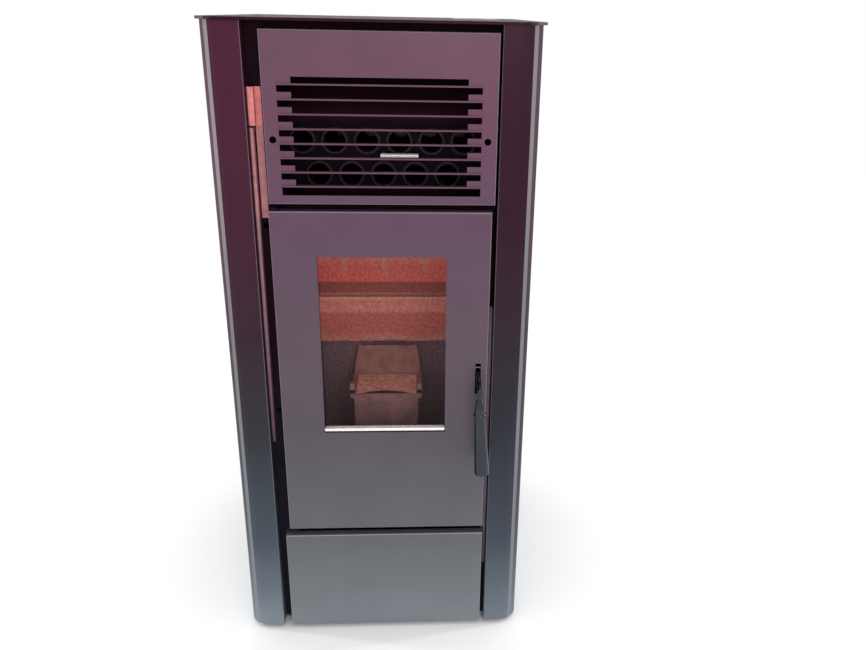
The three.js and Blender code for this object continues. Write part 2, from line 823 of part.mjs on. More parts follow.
function lowerPanel() {
  const tray = pressedTray(lowerPanelX, [panelY, panelBackY], lowerPanelZ, panelSheet, foldRadius);
  const overTop = [lowerPanelZ[1] - panelSheet * 3, lowerPanelZ[1] + 1];
  const underneath = [lowerPanelZ[0] - 1, lowerPanelZ[0] + panelSheet * 3];
  const pull = block(grown(lowerPanelX, -panelSheet - 2), [panelBackY - pullGap, panelBackY + 1], overTop);
  const open = block(grown(lowerPanelX, -panelSheet - 2), [panelY + doorFlange / 2, panelBackY + 1], underneath);
  return cut(tray, pull, open);
}

const sideBracketZ = [casingTop - sideBracketDrops[0], casingTop - sideBracketDrops[1]];
const leftRailZ = [doorZ[0] + leftRailBase, sideBracketZ[0] - railBracketGap];
const rightRailZ = [lowerPanelZ[1] - rightRailDrops[0], doorZ[1] - rightRailDrops[1]];

// A folded angle beside a pilaster, in front of the frame.
function sideRail(side, zSpan) {
  const outer = side * (pilasterX - seat);
  const inner = side * (pilasterX - seat - railWidth);
  const front = frameY[0] - seat - railDepth;
  const back = frameY[0] - seat;
  const corners = [[inner, back], [inner, front, 2], [outer, front, 2], [outer, back]];
  return foldedSheet(corners, side * panelSheet, "z", zSpan);
}

function sideBracket() {
  const outer = -(pilasterX - seat);
  const back = frameY[0] - seat;
  const front = back - railDepth;
  const inner = outer + sideBracketWidth;
  const corners = [[inner, back], [inner, front, 2], [outer, front, 2], [outer, back]];
  const head = foldedSheet(corners, -panelSheet, "z", sideBracketZ);
  const stripX = [inner - panelSheet, inner + sideBracketWidth * 0.9];
  const strip = block(stripX, [back - 2, back], [upperPanelZ[0] - sideBracketFootDrop, sideBracketZ[1]]);
  return join(head, strip);
}

add("front_frame", frontFrame(), darkSteel);
add("rail_left", sideRail(-1, leftRailZ), galvanised);
add("rail_right", sideRail(1, rightRailZ), galvanised);
add("side_bracket", sideBracket(), galvanised);
add("upper_panel", upperPanel(), panelPaint);
add("lower_panel", lowerPanel(), panelPaint);

// ---------------------------------------------------------------- fire door
const ropeRound = 18;
const ropeX = grown(mouthX, ropeDiameter / 2 + 3);
const ropeZ = grown(mouthZ, ropeDiameter / 2 + 3);
const earGap = pivotBossWidth / 2 + 1.5;

function doorSkin() {
  const y = [panelY, panelY + doorFlange];
  const tray = pressedTray(doorX, y, doorZ, panelSheet, foldRadius);
  const reveal = block(grown(windowX, panelSheet), [panelY, glassY[0] - seat], grown(windowZ, panelSheet));
  const opening = block(windowX, [panelY - 1, glassY[0]], windowZ);
  const slotZ = [doorZ[0] + handleSlotBase, doorZ[0] + handleSlotBase + handleSlotHeight];
  const slot = block(around(handleX, handleSlotWidth), [panelY - 1, panelY + panelSheet + 1], slotZ);
  const [hx, hy] = hingeAt;
  const pinHole = rod(hingePinRadius + running, [hx, hy, doorZ[0] - 1], [hx, hy, doorZ[1] + 1], 16);
  return cut(join(tray, reveal), opening, slot, pinHole);
}

function doorFrame() {
  const x = grown(doorX, -panelSheet - seat);
  const z = grown(doorZ, -panelSheet - seat);
  const plate = block(x, plateY, z);
  const through = grown(plateY, 1);
  const sight = block(grown(windowX, plateSightMargin), through, grown(windowZ, plateSightMargin));
  const ribY = [plateY[1] - 1, plateY[1] + ropeRibDepth];
  const half = ropeDiameter / 2 + seat;
  const rib = (reach) => ropeBand(reach, ribY);
  const groove = cut(rib(half + ropeRib), ropeBand(half, grown(ribY, 1)));
  const innerRib = cut(rib(-half), ropeBand(-half - ropeRib, grown(ribY, 1)));
  const hookWindow = block(around(handleX, pivotBossWidth + 2), through, latchWindowZ);
  const earY = [panelY + panelSheet + 2, plateY[1]];
  const earZ = around(pivotAt[1], 2 * pivotBossRadius);
  const ears = [-1, 1].map((side) => {
    const faces = [handleX + side * earGap, handleX + side * (earGap + earSheet)].sort((a, b) => a - b);
    return block(faces, earY, earZ);
  });
  const pinBore = rod(pivotPinRadius + running / 4, [handleX - 20, ...pivotAt], [handleX + 20, ...pivotAt], 12);
  const [hx, hy] = hingeAt;
  const socket = block([x[0], hx + hingeBoss], [hy - hingeBoss + 2, plateY[1]], [z[0], z[0] + 30]);
  const upperSocket = block([x[0], hx + hingeBoss], [hy - hingeBoss + 2, plateY[1]], [z[1] - 30, z[1]]);
  const pinHole = rod(hingePinRadius + running / 2, [hx, hy, doorZ[0] - 1], [hx, hy, doorZ[1] + 1], 16);
  const body = join(cut(plate, sight, hookWindow), groove, innerRib, ...ears, socket, upperSocket);
  return cut(body, pinBore, pinHole);
}

// A rounded rectangle round the door's mouth, the given distance outside the rope's centre line.
function ropeBand(reach, ySpan) {
  const x = grown(ropeX, reach);
  const z = grown(ropeZ, reach);
  const round = Math.max(ropeRound + reach, 2);
  const corners = [[x[0], z[0], round], [x[1], z[0], round], [x[1], z[1], round], [x[0], z[1], round]];
  return extrude(roundedPath(corners, true, 4), "y", ySpan);
}

function doorGlass() {
  return block(grown(windowX, glassOverlap), glassY, grown(windowZ, glassOverlap));
}

function doorRope() {
  const y = plateY[1] + seat + ropeDiameter / 2;
  const cornerRadius = ropeDiameter / 2 / Math.cos(Math.PI / ropeSides);
  return ringOfRope(ropeX, ropeZ, y, cornerRadius, ropeRound);
}

function hingeBracket(top) {
  const [hx, hy] = hingeAt;
  const z = top
    ? [doorZ[1] + seat + 1, doorZ[1] + seat + 1 + hingeBracketSheet]
    : [doorZ[0] - hingeBracketSheet - 3, doorZ[0] - 3];
  const half = hingeCollarRadius + 1;
  const tongue = block([hx - half, hx + half], [hy, frameY[0] - seat], z);
  const nose = rod(half, [hx, hy, z[0]], [hx, hy, z[1]], 20);
  const foot = block([hx - half, hx + half + 10], [frameY[0] - seat - 2, frameY[0] - seat], z);
  const bore = rod(hingePinRadius + running / 4, [hx, hy, z[0] - 1], [hx, hy, z[1] + 1], 16);
  return cut(join(tongue, nose, foot), bore);
}

function hingePin(top) {
  const [hx, hy] = hingeAt;
  const bracket = top ? doorZ[1] + seat + 1 + hingeBracketSheet : doorZ[0] - hingeBracketSheet - 3;
  const inside = top ? doorZ[1] - 22 : doorZ[0] + 22;
  const stem = rod(hingePinRadius, [hx, hy, bracket], [hx, hy, inside], 16);
  const headZ = top ? [bracket + seat, bracket + seat + 2] : [bracket + hingeBracketSheet + seat, doorZ[0] - seat];
  const head = rod(top ? hingePinRadius + 2 : hingeCollarRadius, [hx, hy, headZ[0]], [hx, hy, headZ[1]], 16);
  const neck = rod(hingePinRadius, [hx, hy, Math.min(bracket, headZ[0])], [hx, hy, Math.max(bracket, headZ[1])], 16);
  return join(stem, head, neck);
}

add("door_skin", doorSkin(), panelPaint);
add("door_frame", doorFrame(), darkSteel);
add("door_glass", doorGlass(), ceramicGlass);
add("door_seal_rope", doorRope(), ropeGrey);
add("door_hinge_bracket_upper", hingeBracket(true), darkSteel);
add("door_hinge_bracket_lower", hingeBracket(false), darkSteel);
add("door_hinge_pin_upper", hingePin(true), brightSteel);
add("door_hinge_pin_lower", hingePin(false), brightSteel);

// ---------------------------------------------------------------- door handle and latch
const gripTopY = panelY - handleStandOff;
const gripTopZ = doorZ[0] + coneTop;
const keeperAt = [pivotAt[0] + hookReach - 6, pivotAt[1] + 6];

function handleLever() {
  const [py, pz] = pivotAt;
  const curve = new THREE.CatmullRomCurve3([
    new THREE.Vector3(handleX, py, pz),
    new THREE.Vector3(handleX, py - 14, pz - 3),
    new THREE.Vector3(handleX, gripTopY + 18, pz - 14),
    new THREE.Vector3(handleX, gripTopY + 3, gripTopZ + 12),
    new THREE.Vector3(handleX, gripTopY, gripTopZ - coneHeight + 4),
  ]);
  const section = new THREE.Shape();
  section.absarc(0, 0, handleRod / 2, 0, 2 * Math.PI);
  const arm = new THREE.ExtrudeGeometry(section, { steps: 10, curveSegments: 6, extrudePath: curve });
  const halfBoss = pivotBossWidth / 2;
  const boss = rod(pivotBossRadius, [handleX - halfBoss, py, pz], [handleX + halfBoss, py, pz], 20);
  const noseY = [keeperAt[0] + keeperPinRadius + 1, keeperAt[0] + keeperPinRadius + 6];
  const noseTop = keeperAt[1] - keeperPinRadius - keeperGap;
  const hook = [
    [py, pz + 4],
    [py + 10, pz - 1],
    [noseY[0], noseTop - 4, 1],
    [noseY[0], noseTop],
    [noseY[1], noseTop],
    [noseY[1], pz - 8, 3],
    [py + 8, pz - 7],
    [py, pz - 5],
  ];
  const claw = extrude(roundedPath(hook, true, 2), "x", around(handleX, hookWidth));
  const bore = rod(pivotPinRadius + running / 2, [handleX - 20, py, pz], [handleX + 20, py, pz], 16);
  return cut(join(arm, boss, claw), bore);
}

function handleGrip() {
  const bore = handleRod / 2 + running;
  const profile = [
    [0, -coneHeight + 3],
    [bore, -coneHeight + 3],
    [bore, 0],
    [bore + 1, 0],
    [gripTopRadius * 0.65, -coneHeight * 0.35],
    [gripTopRadius * 0.98, -coneHeight + 1],
    [ringRadius, -coneHeight],
    [ringRadius + 0.8, -coneHeight - ringHeight / 2],
    [ringRadius, -coneHeight - ringHeight],
    [gripTopRadius, -coneHeight - ringHeight - 1],
    [gripEndRadius, -coneHeight - ringHeight - gripLength + 1.5],
    [gripEndRadius - 1.5, -coneHeight - ringHeight - gripLength],
    [0, -coneHeight - ringHeight - gripLength],
  ].map(([u, v]) => new THREE.Vector2(u, v));
  const turned = new THREE.LatheGeometry(profile, 20).rotateX(Math.PI / 2);
  const solid = facetsOutwards(trianglesOf(turned));
  const lean = new THREE.Matrix4().makeRotationY(THREE.MathUtils.degToRad(-gripLean));
  const place = new THREE.Matrix4().makeTranslation(handleX, gripTopY, gripTopZ);
  return cut(solid.applyMatrix4(place.multiply(lean)), leverShadow());
}

// Room for the lever's end inside the leaning grip.
function leverShadow() {
  const bottom = gripTopZ - coneHeight + 4 - seat;
  return rod(handleRod / 2 + running, [handleX, gripTopY, bottom], [handleX, gripTopY, gripTopZ + 6], 16);
}

function trianglesOf(geometry) {
  const flat = geometry.index ? geometry.toNonIndexed() : geometry;
  const position = flat.getAttribute("position");
  const points = [];
  for (let i = 0; i < position.count; i += 1) {
    points.push([position.getX(i), position.getY(i), position.getZ(i)]);
  }
  return points;
}

function pivotPin() {
  const reach = earGap + earSheet + 1;
  return rod(pivotPinRadius, [handleX - reach, ...pivotAt], [handleX + reach, ...pivotAt], 12);
}

function latchKeeper() {
  const inner = latchWindowX;
  const zSpan = [keeperAt[1] - 14, keeperAt[1] + 10];
  const ySpan = [frameY[1] + seat, keeperAt[0] + 8];
  const plate = 2;
  const leftEar = block([inner[0] + 1, inner[0] + 1 + plate], ySpan, zSpan);
  const rightEar = block([inner[1] - 1 - plate, inner[1] - 1], ySpan, zSpan);
  const web = block([inner[0] + 1, inner[1] - 1], ySpan, [zSpan[1] - plate, zSpan[1]]);
  const foot = block([inner[1] - 1 - plate, inner[1] + 12], [ySpan[0], ySpan[0] + plate], zSpan);
  const [y, z] = keeperAt;
  const pin = rod(keeperPinRadius, [inner[0] + 1, y, z], [inner[1] - 1, y, z], 12);
  return join(leftEar, rightEar, web, foot, pin);
}

add("handle_lever", handleLever(), polished);
add("handle_grip", handleGrip(), polished);
add("handle_pivot_pin", pivotPin(), brightSteel);
add("latch_keeper", latchKeeper(), sheetSteel);

// ---------------------------------------------------------------- firebox and its lining
const innerFireX = grown(fireboxX, -fireboxWall);
const innerFireY = grown(fireboxY, -fireboxWall);
const backLiningY = [innerFireY[1] - seat - liningThickness, innerFireY[1] - seat];
const augerFoot = [fireboxY[1] + augerSetback, potRimTop + chuteAbovePot - augerFootDrop];
const augerHead = [augerFoot[0] - augerRun, augerFoot[1] + augerRun];
const chuteEnd = [backLiningY[0] - chuteProud, potRimTop + chuteAbovePot];
const chuteAngle = Math.atan2(augerHead[1] - chuteEnd[1], augerHead[0] - chuteEnd[0]);
const chuteHoleX = around(stoveOffset, chuteWidth + 2 * passage);
const smokePortX = [smokeBoxX + smokePortInset, smokeBoxX + smokePortInset + smokePortWidth];
const smokePortZ = [hearthZ[0] + smokePortAboveHearth, hearthZ[0] + smokePortAboveHearth + smokePortHeight];

function chuteHoleZ(y) {
  const middle = chuteEnd[1] + (y - chuteEnd[0]) * Math.tan(chuteAngle);
  return around(middle, chuteHeight + 2 * passage);
}

function spanned(first, second) {
  return [Math.min(first[0], second[0]), Math.max(first[1], second[1])];
}

function backPorts(y) {
  const chuteZ = spanned(chuteHoleZ(y[0]), chuteHoleZ(y[1]));
  return [
    block(chuteHoleX, y, chuteZ),
    block(smokePortX, y, smokePortZ),
    rod(igniterRadius + 1, [potOffset, y[0], igniterHeight], [potOffset, y[1], igniterHeight], 12),
    rod(airPipeRadius - airPipeWall, [stoveOffset, y[0], airPipeHeight], [stoveOffset, y[1], airPipeHeight], 24),
  ];
}

function fireboxBody() {
  const shell = block(fireboxX, fireboxY, [trayTop + seat, fireboxTop]);
  const frontHole = [fireboxY[0] - 1, innerFireY[0] + 1];
  return cut(
    shell,
    block(innerFireX, innerFireY, [hearthZ[1], fireboxTop - fireboxWall]),
    block(innerFireX, innerFireY, [ashFloorZ[1], hearthZ[0]]),
    block(innerFireX, grown(fireboxY, 1), [trayTop, ashFloorZ[0]]),
    block(mouthX, frontHole, mouthZ),
    block(ashOpeningX, frontHole, ashOpeningZ),
    block(grown(fireboxX, -smokeHoleRim), [tubePlateY + smokeHoleRooms[0], fireboxY[1] - smokeHoleRooms[1]],
      grown([fireboxTop - fireboxWall, fireboxTop], 1)),
    block(grown(mouthX, -mouthMargin), [fireboxY[0] + 16, potY[0] - 16], grown(hearthZ, 1)),
    ...backPorts(grown([innerFireY[1], fireboxY[1]], 1)),
  );
}

// The back lining: a slab with a lower and an upper course of bricks that stand forward of it. Pellets drop
// from the chute through a pocket behind the lower course.
function backLining() {
  const x = grown(innerFireX, -seat);
  const slab = block(x, backLiningY, [liningBase, liningTop]);
  const courseX = grown(x, -sideLiningThickness - seat);
  const [face, back] = [backLiningY[0] - courseDepth, backLiningY[0] + 1];
  const lowerZ = [potRimTop + lowerCourseAbovePot, potRimTop + lowerCourseAbovePot + lowerCourseHeight];
  const upperZ = [lowerZ[1] + courseGap, liningTop];
  const profile = [
    [face, lowerZ[0]],
    [back, lowerZ[0]],
    [back, lowerZ[1]],
    [face + courseBevel[0], lowerZ[1]],
    [face, lowerZ[1] - courseBevel[1]],
  ].map(([u, v]) => new THREE.Vector2(u, v));
  const lowerCourse = extrude(profile, "x", courseX);
  const upperCourse = block(courseX, [face, back], upperZ);
  const pocketTop = chuteHoleZ(back)[1];
  const pocket = block(chuteHoleX, [face + courseFront, back], [lowerZ[0] - 1, pocketTop]);
  const joints = [-1, 1].flatMap((side) => {
    const at = around(brickOffset + (side * brickWidth) / 2, brickJoint);
    const front = block(at, [face - 1, face + brickJoint], grown(lowerZ, 1));
    const recess = block(at, [backLiningY[0] - 1, backLiningY[0] + brickJoint], [lowerZ[1], upperZ[0]]);
    return [front, recess];
  });
  return cut(join(slab, lowerCourse, upperCourse), ...backPorts(grown(backLiningY, 2)), pocket, ...joints);
}

function sideLining(side) {
  const outer = side < 0 ? innerFireX[0] + seat : innerFireX[1] - seat;
  const inner = outer - side * sideLiningThickness;
  const x = [Math.min(outer, inner), Math.max(outer, inner)];
  return block(x, [innerFireY[0] + 8, backLiningY[0] - seat], [liningBase, liningTop]);
}

function baffle() {
  const y = [backLiningY[1] - baffleDepth, backLiningY[1]];
  const z = [baffleBase, baffleBase + baffleThickness];
  const plate = block(grown(innerFireX, -seat), y, z);
  const bevel = extrude(
    [[y[0] - 1, z[0] - 1], [y[0] + 12, z[0] - 1], [y[0] - 1, z[0] + baffleThickness - 1]]
      .map(([u, v]) => new THREE.Vector2(u, v)),
    "x",
    grown(innerFireX, 1),
  );
  return cut(plate, bevel);
}

const potX = around(potOffset, potWidth);
const potY = [backLiningY[0] - potSetback, backLiningY[0] - potSetback + potDepth];
const potZ = [potRimTop - potHeight, potRimTop];

add("firebox_body", fireboxBody(), darkSteel);
add("lining_back", backLining(), fireClay);
add("lining_left", sideLining(-1), fireClay);
add("lining_right", sideLining(1), fireClay);
add("baffle", baffle(), fireClay);

// ---------------------------------------------------------------- burn pot
function burnPot() {
  const rimX = around(potOffset, potRimWidth);
  const rimY = grown(potY, potRimReach);
  const rim = block(rimX, rimY, [potZ[1] - potWall, potZ[1]]);
  const lipFoot = potZ[1] - 3 * potWall;
  const lipArc = new THREE.Shape();
  lipArc.moveTo(potX[0], lipFoot);
  lipArc.lineTo(potX[1], lipFoot);
  lipArc.lineTo(potX[1], potZ[1]);
  lipArc.quadraticCurveTo(potOffset, potZ[1] + 2 * potLipRise, potX[0], potZ[1]);
  const lip = extrude(lipArc.getPoints(8), "y", [rimY[0], potY[0]]);
  const lugs = [[rimX[0], rimX[0] + potLugWidth], [rimX[1] - potLugWidth, rimX[1]]].map((x) =>
    block(x, [rimY[0], potY[0] + potWall], [potZ[1] - potWall, potZ[1] + potLugHeight]),
  );
  const bowl = block(grown(potX, -potWall), grown(potY, -potWall), [potZ[0] + potWall, potZ[1] + 1]);
  const airHoles = [];
  for (let i = -2; i <= 2; i += 1) {
    for (let k = -1; k <= 1; k += 2) {
      const at = [potOffset + i * airHolePitch[0], (potY[0] + potY[1]) / 2 + k * airHolePitch[1]];
      airHoles.push(rod(airHoleRadius, [...at, potZ[0] - 1], [...at, potZ[0] + potWall + 1], 6));
    }
  }
  const igniterHole = rod(
    igniterRadius + 1,
    [potOffset, potY[1] - potWall - 1, igniterHeight],
    [potOffset, potY[1] + 5, igniterHeight],
    12,
  );
  return join(cut(join(block(potX, potY, potZ), rim), bowl, ...airHoles, igniterHole), lip, ...lugs);
}

// The sloped plate behind the pot that pellets slide down. A cheek at each side runs back to the lining.
function pelletSlide() {
  const foot = [potY[1] + potRimReach + running, potZ[1]];
  const head = [foot[0] + slideRun, foot[1] + slideRise];
  const back = backLiningY[0] - seat;
  const rise = [
    [foot[0], foot[1]],
    [foot[0], foot[1] - slideSheet],
    [head[0], head[1] - slideSheet * 1.5],
    [back, head[1] - slideSheet * 1.5],
    [back, head[1]],
    [head[0], head[1]],
  ].map(([u, v]) => new THREE.Vector2(u, v));
  const taper = taperedBlock(
    { x: around(potOffset, slideFootWidth), y: [foot[0] - 1, back + 1] },
    { x: around(potOffset, slideTopWidth), y: [foot[0] - 1, back + 1] },
    [foot[1] - slideSheet - 1, head[1] + slideCheek + 1],
  );
  const floor = extrude(rise, "x", around(potOffset, slideFootWidth));
  const side = [
    [foot[0], foot[1] - slideSheet],
    [back, foot[1] - slideSheet],
    [back, head[1] + slideCheek],
    [head[0], head[1] + slideCheek],
    [foot[0], foot[1] + slideCheek],
  ].map(([u, v]) => new THREE.Vector2(u, v));
  const lean = ((slideFootWidth - slideTopWidth) / 2) / (slideRise + slideSheet + slideCheek);
  const cheeks = [-1, 1].map((hand) => {
    const plate = extrude(side, "x", around(potOffset + hand * (slideFootWidth / 2 - slideSheet), slideSheet));
    const shear = new THREE.Matrix4().set(
      1, 0, -hand * lean, hand * lean * foot[1],
      0, 1, 0, 0,
      0, 0, 1, 0,
      0, 0, 0, 1,
    );
    return plate.applyMatrix4(shear);
  });
  return join(common(floor, taper), ...cheeks);
}

function potHolder() {
  const z = [liningBase, potZ[0] - seat];
  const x = grown(potX, holderProud);
  const y = grown(potY, holderProud);
  const shell = block(x, y, z);
  const inside = block(grown(x, -holderSheet), grown(y, -holderSheet), grown(z, 1));
  const airPort = rod(airPipeRadius, [stoveOffset, y[1] - 6, airPipeHeight], [stoveOffset, y[1] + 1, airPipeHeight], 20);
  return cut(shell, inside, airPort);
}

function igniter() {
  const start = potY[1] + 2;
  const heater = rod(igniterRadius, [potOffset, start, igniterHeight], [potOffset, start + igniterLength, igniterHeight], 12);
  const collarAt = fireboxY[1] + seat;
  const collar = rod(igniterRadius + 5, [potOffset, collarAt, igniterHeight], [potOffset, collarAt + 3, igniterHeight], 16);
  return join(heater, collar);
}

add("burn_pot", burnPot(), castIron);
add("burn_pot_holder", potHolder(), castIron);
add("pellet_slide", pelletSlide(), castIron);
add("igniter", igniter(), brightSteel);

// ---------------------------------------------------------------- heat exchanger and its scraper
const exchangerBackY = fireboxY[1];
const upperRowZ = exchangerZ[0] + upperRowRise;
const lowerRowZ = exchangerZ[0] + lowerRowRise;
const scraperHeight = exchangerZ[0] + scraperRise;
const cowlTop = upperPanelZ[1] - cowlBelowPanelTop;
const tubeRoom = exchangerX[1] - exchangerX[0] - 2 * exchangerWall - 2 * tubeRadius;
const upperTubeCount = 1 + Math.floor(tubeRoom / tubePitch);
const rowOffsets = (count) => Array.from({ length: count }, (_, i) => (i - (count - 1) / 2) * tubePitch);
const tubePlaces = [
  ...rowOffsets(upperTubeCount).map((x) => [stoveOffset + x, upperRowZ]),
  ...rowOffsets(upperTubeCount - 1).map((x) => [stoveOffset + x, lowerRowZ]),
];

function heatExchanger() {
  const wall = exchangerWall;
  const innerX = grown(exchangerX, -wall);
  const shell = block(exchangerX, [frameY[1] + seat, exchangerBackY], exchangerZ);
  const cowl = block(exchangerX, [frameY[1] + seat, tubePlateY + wall], [exchangerZ[0], cowlTop]);
  const frontRoom = block(innerX, [0, tubePlateY], [exchangerZ[0] + wall, cowlTop - fanWall]);
  const smokeRoom = block(innerX, [tubePlateY + wall, exchangerBackY - wall], [exchangerZ[0] - 1, exchangerZ[1] - wall]);
  const reach = [tubePlateY - tubeStandProud, exchangerBackY];
  const tubes = tubePlaces.map(([x, z]) => rod(tubeRadius, [x, reach[0], z], [x, reach[1], z], 12));
  const bores = tubePlaces.map(([x, z]) => rod(tubeBoreRadius, [x, reach[0] - 1, z], [x, reach[1] + 1, z], 12));
  const guideX = around(stoveOffset + scraperBarLength / 2 - 8, scraperGuideWidth);
  const guideZ = around(scraperHeight + 1.5, scraperGuideHeight);
  const guide = block(guideX, [tubePlateY - scraperGuideSheet, tubePlateY + 1], guideZ);
  const guideHole = rod(
    scraperRodRadius + running,
    [stoveOffset, tubePlateY - 5, scraperHeight],
    [stoveOffset, tubePlateY + wall + 1, scraperHeight],
    16,
  );
  const hollow = cut(join(shell, cowl), frontRoom, smokeRoom);
  return cut(join(hollow, ...tubes, guide), ...bores, guideHole);
}

function scraperPlate() {
  const y = [exchangerBackY - exchangerWall - 12 - scraperPlateSheet, exchangerBackY - exchangerWall - 12];
  const x = grown(exchangerX, -exchangerWall - 2);
  const z = [exchangerZ[0] + 6, exchangerZ[1] - exchangerWall - seat];
  const holes = tubePlaces.map(([at, up]) =>
    rod(tubeRadius + 2.4, [at, y[0] - 1, up], [at, y[1] + 1, up], 8),
  );
  const hub = rod(scraperRodRadius + 4, [stoveOffset, y[0] - 8, scraperHeight], [stoveOffset, y[1], scraperHeight], 16);
  const bore = rod(scraperRodRadius + seat, [stoveOffset, y[0] - 9, scraperHeight], [stoveOffset, y[1] + 1, scraperHeight], 16);
  return cut(join(cut(block(x, y, z), ...holes), hub), bore);
}

function scraperRod() {
  const y = [tubePlateY - 10, exchangerBackY - exchangerWall - 12];
  const shaft = rod(scraperRodRadius, [stoveOffset, y[0], scraperHeight], [stoveOffset, y[1], scraperHeight], 12);
  const bar = rod(
    scraperRodRadius,
    [stoveOffset - scraperRodRadius, y[0], scraperHeight],
    [stoveOffset - scraperRodRadius + scraperBarLength, y[0], scraperHeight],
    12,
  );
  return join(shaft, bar);
}

add("heat_exchanger", heatExchanger(), darkSteel);
add("scraper_plate", scraperPlate(), sheetSteel);
add("scraper_rod", scraperRod(), brightSteel);

// ---------------------------------------------------------------- ash drawer
function ashDrawer() {
  const x = grown(ashOpeningX, -passage);
  const y = [panelY + panelSheet + seat, innerFireY[1] - drawerBackGap];
  const z = [ashFloorZ[1] + seat, ashFloorZ[1] + seat + drawerHeight];
  const inside = block(grown(x, -drawerSheet), grown(y, -drawerSheet), [z[0] + drawerSheet, z[1] + 1]);
  return cut(block(x, y, z), inside);
}

add("ash_drawer", ashDrawer(), sheetSteel);

// ---------------------------------------------------------------- hopper and auger
const neckX = around(stoveOffset, hopperOutlet);
const neckY = [augerFoot[0] - neckInset - hopperOutlet, augerFoot[0] - neckInset];
const neckTop = augerHead[1] + neckAboveHead;

const hopperX = grown(lidX, -hopperLedge);
const hopperY = [lidFront + hopperLedge, lidHinge[0] - knuckleRadius - hopperLedge - 1];
const hopperWaist = casingTop - hopperStraight;

// The straight bin under the lid, with a flange round its mouth.
function hopper() {
  const z = [hopperWaist, casingTop];
  const flangeZ = [casingTop - hopperSheet, casingTop];
  const flange = block(grown(hopperX, hopperLedge - 1), grown(hopperY, hopperLedge - 1), flangeZ);
  const inside = block(grown(hopperX, -hopperSheet), grown(hopperY, -hopperSheet), grown(z, 1));
  return cut(join(block(hopperX, hopperY, z), flange), inside);
}

// The tapered sheet below the bin that leads the pellets to the auger's neck.
function hopperFunnel() {
  const z = [neckTop + seat, hopperWaist - seat];
  const narrowed = ({ x, y }) => ({ x: grown(x, -hopperSheet), y: grown(y, -hopperSheet) });
  const lower = { x: neckX, y: neckY };
  const upper = { x: hopperX, y: hopperY };
  return cut(taperedBlock(lower, upper, z), taperedBlock(narrowed(lower), narrowed(upper), grown(z, 0.01)));
}

const augerLength = Math.hypot(augerFoot[0] - augerHead[0], augerFoot[1] - augerHead[1]);
const augerTilt = Math.atan2(augerFoot[0] - augerHead[0], augerHead[1] - augerFoot[1]);

// Stands a body that was made along z on the auger's axis, its z = 0 at the auger's foot.
function onAuger(geometry) {
  const tilt = new THREE.Matrix4().makeRotationX(augerTilt);
  const place = new THREE.Matrix4().makeTranslation(stoveOffset, augerFoot[0], augerFoot[1]);
  return geometry.applyMatrix4(place.multiply(tilt));
}

function chuteBody(inset, reach) {
  const half = chuteHeight / 2 - inset;
  const slope = Math.tan(chuteAngle);
  const from = chuteEnd[0] - reach;
  const to = augerHead[0] + 8;
  const at = (y) => chuteEnd[1] + (y - chuteEnd[0]) * slope;
  const outline = [
    [from, at(from) - half],
    [to, at(to) - half],
    [to, at(to) + half * 0.6],
    [from, at(from) + half],
  ].map(([u, v]) => new THREE.Vector2(u, v));
  return extrude(outline, "x", around(stoveOffset, chuteWidth - 2 * inset));
}

function augerTube() {
  const beyond = 26;
  const inner = augerTubeRadius - augerTubeWall;
  const tube = onAuger(rod(augerTubeRadius, [0, 0, 0], [0, 0, augerLength + beyond], 18));
  const bore = onAuger(rod(inner, [0, 0, augerTubeWall], [0, 0, augerLength + beyond - augerTubeWall], 18));
  const shaftHole = onAuger(rod(screwShaftRadius + running, [0, 0, -1], [0, 0, augerTubeWall + 1], 16));
  const axisAtNeck = augerFoot[1] + (augerFoot[0] - (neckY[0] + neckY[1]) / 2);
  const neck = block(neckX, neckY, [axisAtNeck, neckTop]);
  const neckBore = block(grown(neckX, -augerTubeWall), grown(neckY, -augerTubeWall), [axisAtNeck, neckTop + 1]);
  const outside = join(tube, neck, chuteBody(0, 0));
  return cut(outside, bore, shaftHole, neckBore, chuteBody(chuteWall, 4));
}

function augerScrew() {
  const length = augerLength + 18;
  const shaft = rod(screwShaftRadius, [0, 0, -6], [0, 0, length + 2], 10);
  const blade = screwBladeBody(
    screwShaftRadius - 2,
    screwRadius,
    screwPitch,
    screwBlade,
    length - augerTubeWall - 4,
    screwSteps,
  ).translate(0, 0, augerTubeWall + 2);
  return onAuger(join(shaft, blade));
}

function augerMotor() {
  const half = gearboxSize / 2;
  const gearbox = block([-half, half], [-half, half], [-gearboxDepth - seat, -seat]);
  const shaftRoom = rod(screwShaftRadius + running, [0, 0, -8], [0, 0, 1], 16);
  const motor = rod(augerMotorRadius, [0, 0, -gearboxDepth - augerMotorLength], [0, 0, -gearboxDepth], 16);
  return onAuger(cut(join(gearbox, motor), shaftRoom));
}

add("hopper", hopper(), sheetSteel);
add("hopper_funnel", hopperFunnel(), sheetSteel);
add("auger_tube", augerTube(), sheetSteel);
add("auger_screw", augerScrew(), brightSteel);
add("auger_motor", augerMotor(), blackPlastic);

// ---------------------------------------------------------------- fans and ducts
// A fan scroll's outline about the wheel's axis: it widens from the top round the back and bottom to the
// front, where the outlet rises.
function scrollOutline({ inner, outer, outlet }, rise, wall) {
  const points = [];
  const steps = 18;
  for (let i = 0; i <= steps; i += 1) {
    const turn = (1.5 * Math.PI * i) / steps;
    const radius = inner + ((outer - inner) * i) / steps - wall;
    points.push(new THREE.Vector2(radius * Math.sin(turn), radius * Math.cos(turn)));
  }
  const top = rise + (wall > 0 ? 1 : 0);
  points.push(new THREE.Vector2(-outer + wall, top));
  points.push(new THREE.Vector2(-outer + outlet - wall, top));
  points.push(new THREE.Vector2(-outer + outlet - wall, inner - wall));
  return points;
}

